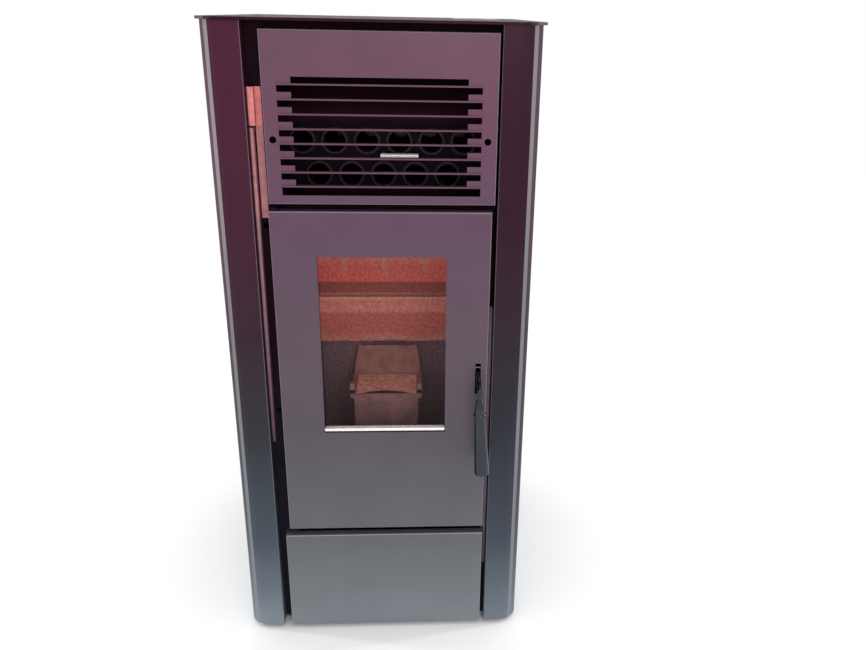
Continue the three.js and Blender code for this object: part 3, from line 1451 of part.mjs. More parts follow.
// The outline turned and moved to its fan: the outlet points up, or to the back.
function placedScroll(fan, rise, wall, toBack) {
  return scrollOutline(fan, rise, wall).map(({ x, y }) =>
    toBack ? new THREE.Vector2(fan.y + y, fan.z - x) : new THREE.Vector2(fan.y + x, fan.z + y),
  );
}

function fanHousing(fan, rise, toBack, inletOnLeft) {
  const x = [fan.x, fan.x + fan.width];
  const shell = extrude(placedScroll(fan, rise, 0, toBack), "x", x);
  const room = extrude(placedScroll(fan, rise, fanWall, toBack), "x", grown(x, -fanWall));
  const inletX = inletOnLeft ? [x[0] - 1, x[0] + fanWall + 1] : [x[1] - fanWall - 1, x[1] + 1];
  const shaftX = inletOnLeft ? [x[1] - fanWall - 1, x[1] + 1] : [x[0] - 1, x[0] + fanWall + 1];
  const inlet = rod(fan.inner * 0.7, [inletX[0], fan.y, fan.z], [inletX[1], fan.y, fan.z], 24);
  const shaftHole = rod(fanShaftRadius + running, [shaftX[0], fan.y, fan.z], [shaftX[1], fan.y, fan.z], 16);
  return cut(shell, room, inlet, shaftHole);
}

// A squirrel-cage wheel on its shaft: back disc, open rim and a ring of blades.
function fanWheel(fan, discOnRight) {
  const x = grown([fan.x, fan.x + fan.width], -fanWall - 4);
  const radius = fan.inner - fanWall - 7;
  const backX = discOnRight ? [x[1] - fanRim, x[1]] : [x[0], x[0] + fanRim];
  const rimX = discOnRight ? [x[0], x[0] + fanRim] : [x[1] - fanRim, x[1]];
  const back = rod(radius, [backX[0], fan.y, fan.z], [backX[1], fan.y, fan.z], 18);
  const rim = pipe(radius, radius - 10, [rimX[0], fan.y, fan.z], [rimX[1], fan.y, fan.z], 18);
  const blades = [];
  for (let i = 0; i < fanBlades; i += 1) {
    const turn = (2 * Math.PI * i) / fanBlades;
    const blade = block(grown(x, -1), [-4.5, 4.5], [-1, 1]);
    const pitched = blade.rotateX(0.6).translate(0, radius - 6, 0).rotateX(turn);
    blades.push(pitched.translate(0, fan.y, fan.z));
  }
  const shaftX = discOnRight ? [x[1] - 14, x[1] + fanWall + 12] : [x[0] - fanWall - 12, x[0] + 14];
  const shaft = rod(fanShaftRadius, [shaftX[0], fan.y, fan.z], [shaftX[1], fan.y, fan.z], 12);
  return join(back, rim, ...blades, shaft);
}

function fanMotor(fan, onRight) {
  const face = onRight ? fan.x + fan.width + seat : fan.x - seat;
  const side = onRight ? 1 : -1;
  const end = face + side * fanMotorLength;
  const body = rod(fanMotorRadius, [face, fan.y, fan.z], [end, fan.y, fan.z], 16);
  const room = rod(fanShaftRadius + running, [face - side, fan.y, fan.z], [face + side * 12, fan.y, fan.z], 16);
  const cap = rod(fanMotorRadius * 0.5, [end - side, fan.y, fan.z], [end + side * 4, fan.y, fan.z], 12);
  return cut(join(body, cap), room);
}

const plenumX = fireboxX;
const plenumY = [fireboxY[1] + seat, fireboxY[1] + seat + plenumDepth];

const plenumBase = hearthZ[0] + plenumAboveHearth;
const smokeFanOutletEnd = bodyDepth - flueFlangeInset;

function airPlenum() {
  const z = [plenumBase, exchangerZ[1]];
  const shell = block(plenumX, plenumY, z);
  const room = block(grown(plenumX, -fanWall), grown(plenumY, -fanWall), [z[0] - 1, z[1] - fanWall]);
  const tubeSide = block(grown(plenumX, -fanWall - 4), [plenumY[0] - 1, plenumY[0] + fanWall + 1],
    [exchangerZ[0] + 6, exchangerZ[1] - 6]);
  const chuteZ = spanned(chuteHoleZ(plenumY[0]), chuteHoleZ(plenumY[1]));
  const chuteHole = block(chuteHoleX, grown(plenumY, 1), chuteZ);
  const igniterHole = rod(
    igniterRadius + 7,
    [potOffset, plenumY[0] - 1, igniterHeight],
    [potOffset, plenumY[1] + 1, igniterHeight],
    16,
  );
  return cut(shell, room, tubeSide, chuteHole, igniterHole);
}

function smokeFanHousing() {
  const housing = fanHousing(smokeFan, smokeFanOutletEnd - smokeFan.y, true, true);
  const x = [smokeBoxX, smokeFan.x + 0.01];
  const y = [fireboxY[1] + seat, smokeFan.y + smokeFan.inner * 0.75];
  const z = [smokeBoxBase, plenumBase - smokeBoxGaps[1]];
  const box = block(x, y, z);
  const room = block([x[0] + fanWall, x[1] - fanWall], grown(y, -fanWall), grown(z, -fanWall));
  const port = block(smokePortX, [y[0] - 1, y[0] + fanWall + 1], smokePortZ);
  const inlet = rod(smokeFan.inner * 0.7, [x[1] - fanWall - 1, smokeFan.y, smokeFan.z],
    [x[1] + fanWall + 1, smokeFan.y, smokeFan.z], 24);
  return cut(join(housing, cut(box, room, port)), inlet);
}

function fluePipe() {
  const [x, z] = flueAt;
  const flangeY = smokeFanOutletEnd + seat;
  const half = flueFlangeSize / 2;
  const flange = block([x - half, x + half], [flangeY, flangeY + flueFlangeThickness], [z - half, z + half]);
  const body = rod(fluePipeRadius, [x, flangeY, z], [x, flueEndY, z], 36);
  const bore = rod(fluePipeRadius - flueWall, [x, flangeY + flueFlangeThickness, z], [x, flueEndY + 1, z], 36);
  const portHeight = smokeFan.outlet - 2 * fanWall;
  const port = block(around(x, smokeFan.width - 2 * fanWall), [flangeY - 1, flangeY + flueFlangeThickness + 1],
    around(z, portHeight));
  return cut(join(flange, body), bore, port);
}

function airPipe() {
  const y = [fireboxY[1] + seat, bodyDepth + airPipeReach];
  const body = pipe(airPipeRadius, airPipeRadius - airPipeWall, [stoveOffset, y[0], airPipeHeight],
    [stoveOffset, y[1], airPipeHeight], 20);
  return body;
}

add("room_fan_housing", fanHousing(roomFan, plenumBase - seat - roomFan.z, false, true), sheetSteel);
add("room_fan_wheel", fanWheel(roomFan, true), sheetSteel);
add("room_fan_motor", fanMotor(roomFan, true), blackPlastic);
add("air_plenum", airPlenum(), sheetSteel);
add("smoke_fan_housing", smokeFanHousing(), sheetSteel);
add("smoke_fan_wheel", fanWheel(smokeFan, true), sheetSteel);
add("smoke_fan_motor", fanMotor(smokeFan, true), blackPlastic);
add("flue_pipe", fluePipe(), darkSteel);
add("air_intake_pipe", airPipe(), darkSteel);

// ---------------------------------------------------------------- controls and mains inlet
function controlPanelSpan(extra) {
  const [x, y] = controlPanelAt;
  return [around(x, controlPanelSize[0] + 2 * extra), around(y, controlPanelSize[1] + 2 * extra)];
}

function controlPanel() {
  const [x, y] = controlPanelSpan(0);
  const plate = block(x, y, [topZ[0] - seat - 2, topZ[1]]);
  const flange = block(grown(x, controlPanelFlange), grown(y, controlPanelFlange), [topZ[0] - seat - 2, topZ[0] - seat]);
  const box = block(grown(x, -4), grown(y, -4), [topZ[0] - seat - controlPanelDepth, topZ[0] - seat - 1]);
  const displayY = y[1] - 12 - displaySize[1] / 2;
  const display = block(
    around(controlPanelAt[0], displaySize[0]),
    around(displayY, displaySize[1]),
    [topZ[1] - displayRecess, topZ[1] + 1],
  );
  return cut(join(plate, flange, box), display);
}

function controlBox() {
  const x = [casingInnerX - controlBoxSize[0], casingInnerX];
  const y = [bodyDepth - controlBoxInset, bodyDepth - controlBoxInset + controlBoxSize[1]];
  const z = [controlBoxBase, controlBoxBase + controlBoxSize[2]];
  const vents = [];
  for (let i = 0; i < 6; i += 1) {
    const at = y[0] + 25 + i * 22;
    vents.push(block([x[0] - 1, x[0] + 3], [at, at + 6], [z[0] + 40, z[1] - 40]));
  }
  return cut(block(x, y, z), ...vents);
}

const rockerAt = [bodyDepth + inletFlangeSheet - 5, inletAt[1] + inletSize[1] / 2 - 6 - rockerSize[1] / 2];

function powerInlet() {
  const [cx, cz] = inletAt;
  const x = around(cx, inletSize[0]);
  const z = around(cz, inletSize[1]);
  const faceY = bodyDepth + inletFlangeSheet;
  const body = block(x, [faceY - inletDepth, faceY], z);
  const flange = block(grown(x, inletFlange), [bodyDepth + seat, faceY], grown(z, inletFlange));
  const socketZ = z[0] + 8 + socketSize[1] / 2;
  const socketOutline = roundedPath(
    [
      [cx - socketSize[0] / 2, socketZ - socketSize[1] / 2, 2],
      [cx + socketSize[0] / 2, socketZ - socketSize[1] / 2, 2],
      [cx + socketSize[0] / 2, socketZ + socketSize[1] / 2 - 5],
      [cx + socketSize[0] / 2 - 5, socketZ + socketSize[1] / 2],
      [cx - socketSize[0] / 2 + 5, socketZ + socketSize[1] / 2],
      [cx - socketSize[0] / 2, socketZ + socketSize[1] / 2 - 5],
    ],
    true,
  );
  const socket = extrude(socketOutline, "y", [faceY - socketDepth, faceY + 1]);
  const pins = [-7, 0, 7].map((shift, i) => {
    const up = socketZ + (i === 1 ? 3 : -2);
    return block(
      around(cx + shift, socketPin[0]),
      [faceY - socketDepth - 1, faceY - socketDepth + socketPin[1]],
      around(up, socketPin[2]),
    );
  });
  const [ry, rz] = rockerAt;
  const pocket = block(around(cx, rockerSize[0] + 2), [ry - 9, faceY + 1], around(rz, rockerSize[1] + 3));
  const pivot = rod(1.5, [cx - rockerSize[0] / 2 - 2, ry, rz], [cx + rockerSize[0] / 2 + 2, ry, rz], 10);
  return join(cut(join(body, flange), socket, pocket), ...pins, pivot);
}

function rockerSwitch() {
  const [ry, rz] = rockerAt;
  const half = rockerSize[1] / 2;
  const tilt = THREE.MathUtils.degToRad(rockerRock);
  const rise = half * Math.tan(tilt);
  const faceY = 5 + rockerProud;
  const outline = [
    [-4.5, -half + 2],
    [faceY + rise - 2, -half],
    [faceY - rise * 0.4, 0],
    [faceY + rise - 2, half],
    [-4.5, half - 2],
  ].map(([u, v]) => new THREE.Vector2(u, v).rotateAround(new THREE.Vector2(), tilt).add(new THREE.Vector2(ry, rz)));
  const x = around(inletAt[0], rockerSize[0]);
  const bore = rod(1.5 + running / 2, [x[0] - 1, ry, rz], [x[1] + 1, ry, rz], 12);
  return cut(extrude(outline, "x", x), bore);
}

add("control_panel", controlPanel(), blackPlastic);
add("control_box", controlBox(), blackPlastic);
add("power_inlet", powerInlet(), blackPlastic);
add("rocker_switch", rockerSwitch(), rubber);

// The origin is on the floor, under the middle of the stove's own box.
const gripFrontY = gripTopY - gripEndRadius;
stove.position.set(0, -(gripFrontY + flueEndY) / 2, 0);

export default stove;
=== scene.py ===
import json
import math

import bmesh
import bpy
from mathutils import Matrix, Vector


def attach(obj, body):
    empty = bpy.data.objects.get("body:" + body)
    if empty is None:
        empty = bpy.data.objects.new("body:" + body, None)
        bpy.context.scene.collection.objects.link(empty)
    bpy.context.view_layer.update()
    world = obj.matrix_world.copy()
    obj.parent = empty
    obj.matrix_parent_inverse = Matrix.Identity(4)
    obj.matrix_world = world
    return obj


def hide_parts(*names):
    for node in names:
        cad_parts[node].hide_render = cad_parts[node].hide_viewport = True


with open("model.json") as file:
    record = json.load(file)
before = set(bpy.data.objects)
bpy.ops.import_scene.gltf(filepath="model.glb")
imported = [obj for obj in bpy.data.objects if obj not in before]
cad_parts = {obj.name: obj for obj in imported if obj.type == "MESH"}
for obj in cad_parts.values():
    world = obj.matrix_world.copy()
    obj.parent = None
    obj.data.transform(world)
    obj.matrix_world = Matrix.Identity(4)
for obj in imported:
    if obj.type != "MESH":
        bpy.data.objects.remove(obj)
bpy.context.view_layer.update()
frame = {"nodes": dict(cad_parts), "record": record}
nodes = frame["nodes"]
scene = bpy.context.scene
scene.view_settings.view_transform = "Standard"
print("frame loaded:", len(nodes), "nodes")

mm = 0.001
yShift = -258.5  # mm, from the casing's front back to the frame's origin


def place(x, y, z):  # millimetres from the casing's front and the floor, to the frame's metres
    return Vector((x * mm, (y + yShift) * mm, z * mm))


# nodes
def linear(hexColour, alpha=1.0):  # sRGB hex to linear
    parts = [int(hexColour[i:i + 2], 16) / 255 for i in (1, 3, 5)]
    return [p / 12.92 if p <= 0.04045 else ((p + 0.055) / 1.055) ** 2.4 for p in parts] + [alpha]


def feed(tree, value, socket):  # a plain value, or a (node, output) pair to link
    if isinstance(value, tuple) and isinstance(value[0], bpy.types.Node):
        tree.links.new(value[0].outputs[value[1]], socket)
    else:
        socket.default_value = value


def addNode(tree, kind, inputs=None, **settings):
    node = tree.nodes.new(kind)
    for name, value in settings.items():
        setattr(node, name, value)
    for name, value in (inputs or {}).items():
        feed(tree, value, node.inputs[name])
    return node


def newMaterial(name, **values):  # a Principled material with plain values on its own sockets
    material = bpy.data.materials.new(name)
    material.use_nodes = True
    tree = material.node_tree
    shader = tree.nodes["Principled BSDF"]
    for key, value in values.items():
        feed(tree, value, shader.inputs[key.replace("_", " ")])
    return material, tree, shader


def coordinates(tree):
    where = addNode(tree, "ShaderNodeTexCoord")
    split = addNode(tree, "ShaderNodeSeparateXYZ", {"Vector": (where, "Object")})
    return (where, "Object"), (split, "Z")


def rampOf(tree, height, stops):  # colours by height above the floor: (mm, sRGB hex)
    low, high = stops[0][0], stops[-1][0]
    share = addNode(tree, "ShaderNodeMapRange", {"Value": height, "From Min": low * mm,
                                                 "From Max": high * mm})
    ramp = addNode(tree, "ShaderNodeValToRGB", {"Fac": (share, "Result")})
    cells = ramp.color_ramp.elements
    cells[0].color = linear(stops[0][1])
    cells[1].color = linear(stops[-1][1])
    for at, colour in stops[1:-1]:
        cells.new((at - low) / (high - low)).color = linear(colour)
    return ramp, "Color"


noiseSpread = (0.3, 0.7)  # nearly all of the noise lies between these


def grainOf(tree, where, size, low, high, detail=2.0):  # soft noise of a real size, from low to high
    noise = addNode(tree, "ShaderNodeTexNoise", {"Vector": where, "Scale": 1 / (size * mm),
                                                 "Detail": detail, "Roughness": 0.6})
    return addNode(tree, "ShaderNodeMapRange", {"Value": (noise, "Fac"), "From Min": noiseSpread[0],
                                                "From Max": noiseSpread[1], "To Min": low,
                                                "To Max": high}), "Result"


def speckled(tree, where, colour, size, low, high, detail=2.0):  # a colour broken up by soft patches
    patches = grainOf(tree, where, size, low, high, detail)
    return addNode(tree, "ShaderNodeMix", {0: 1.0, 6: colour, 7: patches}, data_type="RGBA",
                   blend_type="MULTIPLY"), 2


def reliefOf(tree, where, size, strength, depth, detail=2.0):  # a skin of small bumps, in millimetres
    bumps = grainOf(tree, where, size, 0.0, 1.0, detail)
    return addNode(tree, "ShaderNodeBump", {"Height": bumps, "Strength": strength,
                                            "Distance": depth * mm}), "Normal"


def foldOf(tree, stops):  # a value by how far the sheet faces forward: (share facing forward, value)
    facing = addNode(tree, "ShaderNodeNewGeometry")
    split = addNode(tree, "ShaderNodeSeparateXYZ", {"Vector": (facing, "Normal")})
    forward = addNode(tree, "ShaderNodeMath", {0: (split, "Y"), 1: -1.0}, operation="MULTIPLY")
    ramp = addNode(tree, "ShaderNodeValToRGB", {"Fac": (forward, "Value")})
    cells = ramp.color_ramp.elements
    cells[0].position, cells[0].color = stops[0][0], [stops[0][1]] * 3 + [1.0]
    cells[1].position, cells[1].color = stops[-1][0], [stops[-1][1]] * 3 + [1.0]
    for at, value in stops[1:-1]:
        cells.new(at).color = [value] * 3 + [1.0]
    return ramp, "Color"


# powder coated sheet steel, a metallic coat sprayed dry and baked: a satin skin with fine flake and faint
# orange peel; plum high up fading to blue-grey towards the floor, which is a painted reflection of the pale
# floor and the room's warm light, and a painted highlight where the sheet is folded
powderCoat = {
    "flake": (1.2, 0.9, 1.1),  # mm, darkest, lightest: coarser than the real 0.05 mm flake, so that it shows
    "cloud": (90, 0.96, 1.04),
    "satin": (30, 0.36, 0.42),
    "peel": (2.2, 0.1, 0.05),  # mm across, strength, mm deep
    "sheen": [(0.0, 0.02), (0.55, 0.02), (0.72, 0.14), (1.0, 0.12)],  # dull where the sheet turns away
    "awayTint": (0.25, 0.25, 0.25, 1.0),
}


def paintMaterial(name, stops, highlightColour, highlightStops):
    coat = powderCoat
    material, tree, shader = newMaterial(name, Metallic=0.35, Coat_Roughness=0.2, Specular_IOR_Level=0.1,
                                         Specular_Tint=coat["awayTint"])
    where, height = coordinates(tree)
    colour = rampOf(tree, height, stops)
    for key in ("cloud", "flake"):
        colour = speckled(tree, where, colour, *coat[key])
    # the fold colour is a painted highlight, mixed in where the sheet turns away from the front
    highlighted = addNode(tree, "ShaderNodeMix", {0: foldOf(tree, highlightStops), 6: colour, 7: linear(highlightColour)},
                     data_type="RGBA")
    feed(tree, (highlighted, 2), shader.inputs["Base Color"])
    feed(tree, grainOf(tree, where, *coat["satin"]), shader.inputs["Roughness"])
    feed(tree, reliefOf(tree, where, *coat["peel"]), shader.inputs["Normal"])
    feed(tree, foldOf(tree, coat["sheen"]), shader.inputs["Coat Weight"])
    return material


# where the painted highlights lie: a pale line down the rounded corners of the casing, and on the turned
# lips of the panels
cornerHighlight = [(0.0, 0.0), (0.6, 0.0), (0.7, 0.6), (0.8, 0.6), (0.88, 0.0), (1.0, 0.0)]
lipHighlight = [(0.0, 0.0), (0.5, 0.2), (0.85, 0.4), (0.96, 0.0), (1.0, 0.0)]
# the casing: a painted reflection fades it to blue-grey near the floor; a painted highlight runs down its
# corners
casingPaint = paintMaterial("powderCoatCasing", [
    (0, "#828b93"), (90, "#646c75"), (200, "#454e57"), (420, "#313137"),
    (600, "#36232d"), (800, "#432030"), (950, "#472032"), (1100, "#4b2135"),
], "#8e8c92", cornerHighlight)
# the right side panel: the same coat painted darker all over, as painted shade
casingPaintShadedRight = paintMaterial("powderCoatCasingRightShaded", [
    (0, "#737c86"), (90, "#5c656d"), (200, "#40464f"), (420, "#2e2f37"),
    (600, "#30232b"), (800, "#321825"), (950, "#351927"), (1100, "#391f2b"),
], "#8e8c92", cornerHighlight)
# the top plate: the same coat, darker, with a painted highlight along its front lip
topPaint = paintMaterial("powderCoatTop", [(1060, "#28101c"), (1085, "#301320")], "#8c7480", lipHighlight)
# the front panels: a painted reflection fades them to grey near the floor; a painted highlight lies on their
# lips
panelPaint = paintMaterial("powderCoatPanels", [
    (0, "#80868c"), (90, "#71757a"), (200, "#626469"), (420, "#58515a"),
    (600, "#5d4e59"), (800, "#60485a"), (950, "#684758"), (1100, "#654a58"),
], "#cfc6ce", lipHighlight)


# one recipe for bare metals and dry coatings, whose patches are multiples of their own grain
dryGrain = {"patch": 12, "satin": 6, "satinSpread": 0.05, "relief": 0.2}


def dryFinish(name, stops, metallic, roughness, grain, depth, shade=0.14, gloss=0.5):
    d = dryGrain
    material, tree, shader = newMaterial(name, Metallic=metallic, Specular_IOR_Level=gloss)
    where, height = coordinates(tree)
    colour = rampOf(tree, height, stops) if isinstance(stops, list) else linear(stops)
    colour = speckled(tree, where, colour, grain * d["patch"], 1 - shade, 1 + shade)
    satin = grainOf(tree, where, grain * d["satin"], roughness - d["satinSpread"],
                    roughness + d["satinSpread"])
    feed(tree, colour, shader.inputs["Base Color"])
    feed(tree, satin, shader.inputs["Roughness"])
    feed(tree, reliefOf(tree, where, grain, d["relief"], depth), shader.inputs["Normal"])
    return material


# stove enamel baked matt on mild steel: almost no gloss, a dry soot-like grain; blue-grey near the floor and
# dark plum higher up, the same painted colour cast as the casing
stovePaint = dryFinish("mattStovePaint", [
    (0, "#20242e"), (330, "#1e1b22"), (600, "#1f0c16"), (1080, "#210e18"),
], 0.0, 0.7, 1.0, 0.05, gloss=0.05)
# the same enamel on the tube plate, with painted shade behind the grille: near black between the tubes, plum
# above them where light reaches, and a painted shadow, black, under the cowl
tubePlateShade = dryFinish("stovePaintTubePlateShaded", [
    (800, "#180c14"), (924, "#1a0e16"), (933, "#30121f"), (950, "#1c0611"), (1020, "#0a0104"),
], 0.0, 0.7, 1.0, 0.05, gloss=0.05)
# rolled tube ends: enamel over a worked steel lip, painted lighter than the plate's painted shade, as the
# proud lips catch the light
lipPaint = dryFinish("rolledTubeLip", "#2c1a24", 0.1, 0.5, 0.8, 0.02, gloss=0.2)
# soot on the sheet round the fire
sootedSheet = dryFinish("sootedSheet", "#171213", 0.0, 0.9, 1.0, 0.05, gloss=0.05)
# zinc plated folded strip: dull satin; its warm cast is a painted reflection of the room, with painted shade
# darker low down on the left strip
zincPaintedLightLeft = dryFinish("zincStripPaintedLightLeft", [
    (380, "#5a3f4c"), (560, "#8a6676"), (760, "#a07886"), (805, "#bd8286"), (1000, "#c88588"),
], 0.1, 0.5, 0.8, 0.02, gloss=0.2)
# the right strip: the same painted reflection, with painted shade darkening its top and bottom
zincPaintedLightRight = dryFinish("zincStripPaintedLightRight", [
    (130, "#50505a"), (300, "#7d6f78"), (560, "#7d6a75"), (640, "#6a5662"), (700, "#3a2633"),
], 0.1, 0.5, 0.8, 0.02, gloss=0.2)
# the bracket: its salmon colour is a painted reflection of the warm room, with painted shade below 924 mm
zincPaintedLightBracket = dryFinish("zincBracketPaintedLight", [
    (780, "#bc7f84"), (924, "#c08287"), (929, "#e68888"), (990, "#ef9292"),
], 0.0, 0.6, 0.8, 0.02, gloss=0.1)
# galvanised sheet, hot dipped: bright grey with soft spangle
galvanised = dryFinish("galvanisedSheet", "#9b9ca0", 0.8, 0.45, 2.5, 0.02)
# turned bar steel, left bright, painted near white: the steel's own pale grey lifted by a painted highlight
brightBar = dryFinish("brightTurnedSteel", "#f2f0f0", 0.3, 0.3, 0.4, 0.005, 0.05)
# satin nickel on a turned handle: smooth with long soft highlights; its dark base colour is a painted
# reflection of a dark room
satinNickelPaintedDark = dryFinish("satinNickelPaintedDark", "#3e4046", 1.0, 0.14, 3.0, 0.001, 0.04)
# grey cast iron, sand cast: dusty brown-grey with a coarse skin, darker towards the bottom, and a painted
# shadow, dark, along the pot's lip
castIron = dryFinish("sandCastIron", [
    (330, "#7c6670"), (400, "#9c7c82"), (428, "#a88488"), (442, "#a88488"), (444, "#3a2a2e"),
    (449, "#3a2a2e"), (451, "#a88488"),
], 0.0, 0.7, 1.4, 0.15, 0.22, gloss=0.2)
# the same iron on the pellet slide, lighter
slideIron = dryFinish("slideCastIron", "#b08a86", 0.0, 0.6, 1.4, 0.1, 0.22, gloss=0.3)
# glass fibre rope, twisted: dull grey
fibreRope = dryFinish("twistedGlassFibre", "#6c6863", 0.0, 0.95, 0.8, 0.2)
# ABS and nylon mouldings with a fine spark-eroded grain
mouldedBlack = dryFinish("mouldedBlackNylon", "#222326", 0.0, 0.5, 0.6, 0.02)
# nitrile rubber, moulded
footRubber = dryFinish("mouldedRubber", "#1a1a1b", 0.0, 0.85, 1.0, 0.05)
# rolled trim under the glass: a bright metal strip painted near white, a painted highlight where the
# reveal's top catches the light
trimPaintedHighlight = dryFinish("rolledTrimPaintedHighlight", "#ece9ea", 0.5, 0.25, 2.0, 0.002, 0.05)


# vermiculite fire board, pressed: dusty red-brown, darker below the fire line, part soot and part painted
# shade under the apron
fireBoardLook = {
    "wobble": (22.0, 4.0),  # waves to a metre and their detail, in the soot's ragged edge
    "sootAndShadeEdge": (0.505, 0.52, 0.02),  # metres: the raggedness fades between these heights, and its reach
    # by height: soot and painted shade below 507 mm, painted light on the lower course's bevel (562-580 mm),
    # a painted highlight on its top edge (584-587 mm) and a painted shadow in the recess above it (589-616
    # mm)
    "heights": [
        (230, "#8a7b86"), (507, "#96808a"), (514, "#e6a89c"), (520, "#dc8a82"), (556, "#df8a84"),
        (562, "#f4b4aa"), (580, "#f4b0a4"), (584, "#fad6ca"), (587, "#fad6ca"), (589, "#c27c76"),
        (616, "#b07070"), (620, "#fa8c80"), (650, "#fa948a"), (662, "#f8aca2"), (700, "#f8aca2"),
    ],
    "streak": {"x": 0.003, "apart": 0.0375, "width": (0.002, 0.008), "share": 0.55, "fromZ": (0.62, 0.66),
               "colour": "#f4c8c0"},
    "crumb": (5, 0.7, 1.28, 6.0),
    "pits": (2, 0.5, 0.4, 5.0),
}


def fireBoard():
    look, streaks = fireBoardLook, fireBoardLook["streak"]
    material, tree, shader = newMaterial("pressedFireBoard", Roughness=0.92, Specular_IOR_Level=0.1)
    where, height = coordinates(tree)
    wobble = addNode(tree, "ShaderNodeTexNoise", {"Vector": where, "Scale": look["wobble"][0],
                                                  "Detail": look["wobble"][1]})
    fadeLow, fadeHigh, reach = look["sootAndShadeEdge"]
    nearSootAndShade = addNode(tree, "ShaderNodeMapRange", {"Value": height, "From Min": fadeLow,
                                                    "From Max": fadeHigh, "To Min": reach, "To Max": 0.0})
    raised = addNode(tree, "ShaderNodeMath", {0: (wobble, "Fac"), 1: (nearSootAndShade, "Result"), 2: height},
                     operation="MULTIPLY_ADD")
    colour = rampOf(tree, (raised, "Value"), look["heights"])
    # light streaks run down the upper bricks
    split = addNode(tree, "ShaderNodeSeparateXYZ", {"Vector": where})
    fromStreak = addNode(tree, "ShaderNodeMath", {0: (split, "X"), 1: -streaks["x"]}, operation="ADD")
    nearest = addNode(tree, "ShaderNodeMath", {0: (fromStreak, "Value"), 1: streaks["apart"]},
                      operation="PINGPONG")
    streak = addNode(tree, "ShaderNodeMapRange", {"Value": (nearest, "Value"),
                                                  "From Min": streaks["width"][0],
                                                  "From Max": streaks["width"][1],
                                                  "To Min": streaks["share"], "To Max": 0.0})
    isHigh = addNode(tree, "ShaderNodeMapRange", {"Value": height, "From Min": streaks["fromZ"][0],
                                                  "From Max": streaks["fromZ"][1]})
    share = addNode(tree, "ShaderNodeMath", {0: (streak, "Result"), 1: (isHigh, "Result")},
                    operation="MULTIPLY")
    streaked = addNode(tree, "ShaderNodeMix", {0: (share, "Value"), 6: colour, 7: linear(streaks["colour"])},
                     data_type="RGBA")
    feed(tree, speckled(tree, where, (streaked, 2), *look["crumb"]), shader.inputs["Base Color"])
    feed(tree, reliefOf(tree, where, *look["pits"]), shader.inputs["Normal"])
    return material


# ceramic glass, rolled and polished: clear with a faint brown tint and a mirror skin
def stoveGlass():
    material = bpy.data.materials.new("rolledCeramicGlass")
    material.use_nodes = True
    tree = material.node_tree
    tree.nodes.remove(tree.nodes["Principled BSDF"])
    clear = addNode(tree, "ShaderNodeBsdfTransparent", {"Color": linear("#f4eeec")})
    skin = addNode(tree, "ShaderNodeBsdfGlossy", {"Roughness": 0.02})
    fresnel = addNode(tree, "ShaderNodeFresnel", {"IOR": 1.15})
    mix = addNode(tree, "ShaderNodeMixShader", {0: (fresnel, "Fac"), 1: (clear, "BSDF"), 2: (skin, "BSDF")})
    feed(tree, (mix, "Shader"), tree.nodes["Material Output"].inputs["Surface"])
    return material


# touch panel of black acrylic, polished, with thin printed rings that mark the touch fields
touchPanel = {"corner": (136, 336), "cell": 24, "cells": (3, 2), "ring": (0.27, 0.31), "colour": "#141518",
              "print": "#c9ccd0", "smear": (30, 0.1, 0.16)}


def touchMaterial():
    t = touchPanel
    size = t["cell"] * mm
    halfWide, halfLong = (count / 2 for count in t["cells"])
    inner, outer = t["ring"]
    material, tree, shader = newMaterial("polishedAcrylic")
    where, height = coordinates(tree)
    start = place(*t["corner"], 0)
    cells = addNode(tree, "ShaderNodeMapping", {"Vector": where, "Scale": [1 / size, 1 / size, 0.0],
                                                "Location": [-start.x / size, -start.y / size, 0.0]})
    inCell = addNode(tree, "ShaderNodeVectorMath", {0: (cells, "Vector")}, operation="FRACTION")
    away = addNode(tree, "ShaderNodeVectorMath", {0: (inCell, "Vector"), 1: (0.5, 0.5, 0.0)},
                   operation="DISTANCE")
    inside = addNode(tree, "ShaderNodeVectorMath", {0: (cells, "Vector"), 1: (halfWide, halfLong, 0.0)},
                     operation="SUBTRACT")
    far = addNode(tree, "ShaderNodeVectorMath", {0: (inside, "Vector")}, operation="ABSOLUTE")
    sides = addNode(tree, "ShaderNodeSeparateXYZ", {"Vector": (far, "Vector")})
    across = addNode(tree, "ShaderNodeMath", {0: (sides, "X"), 1: halfWide}, operation="LESS_THAN")
    along = addNode(tree, "ShaderNodeMath", {0: (sides, "Y"), 1: halfLong}, operation="LESS_THAN")
    band = addNode(tree, "ShaderNodeMath", {0: (away, "Value"), 1: (inner + outer) / 2,
                                            2: (outer - inner) / 2}, operation="COMPARE")
    both = addNode(tree, "ShaderNodeMath", {0: (across, "Value"), 1: (along, "Value")},
                   operation="MULTIPLY")
    printed = addNode(tree, "ShaderNodeMath", {0: (both, "Value"), 1: (band, "Value")},
                      operation="MULTIPLY")
    colour = addNode(tree, "ShaderNodeMix", {0: (printed, "Value"), 6: linear(t["colour"]),
                                             7: linear(t["print"])}, data_type="RGBA")
    feed(tree, (colour, 2), shader.inputs["Base Color"])
    feed(tree, grainOf(tree, where, *t["smear"]), shader.inputs["Roughness"])
    return material


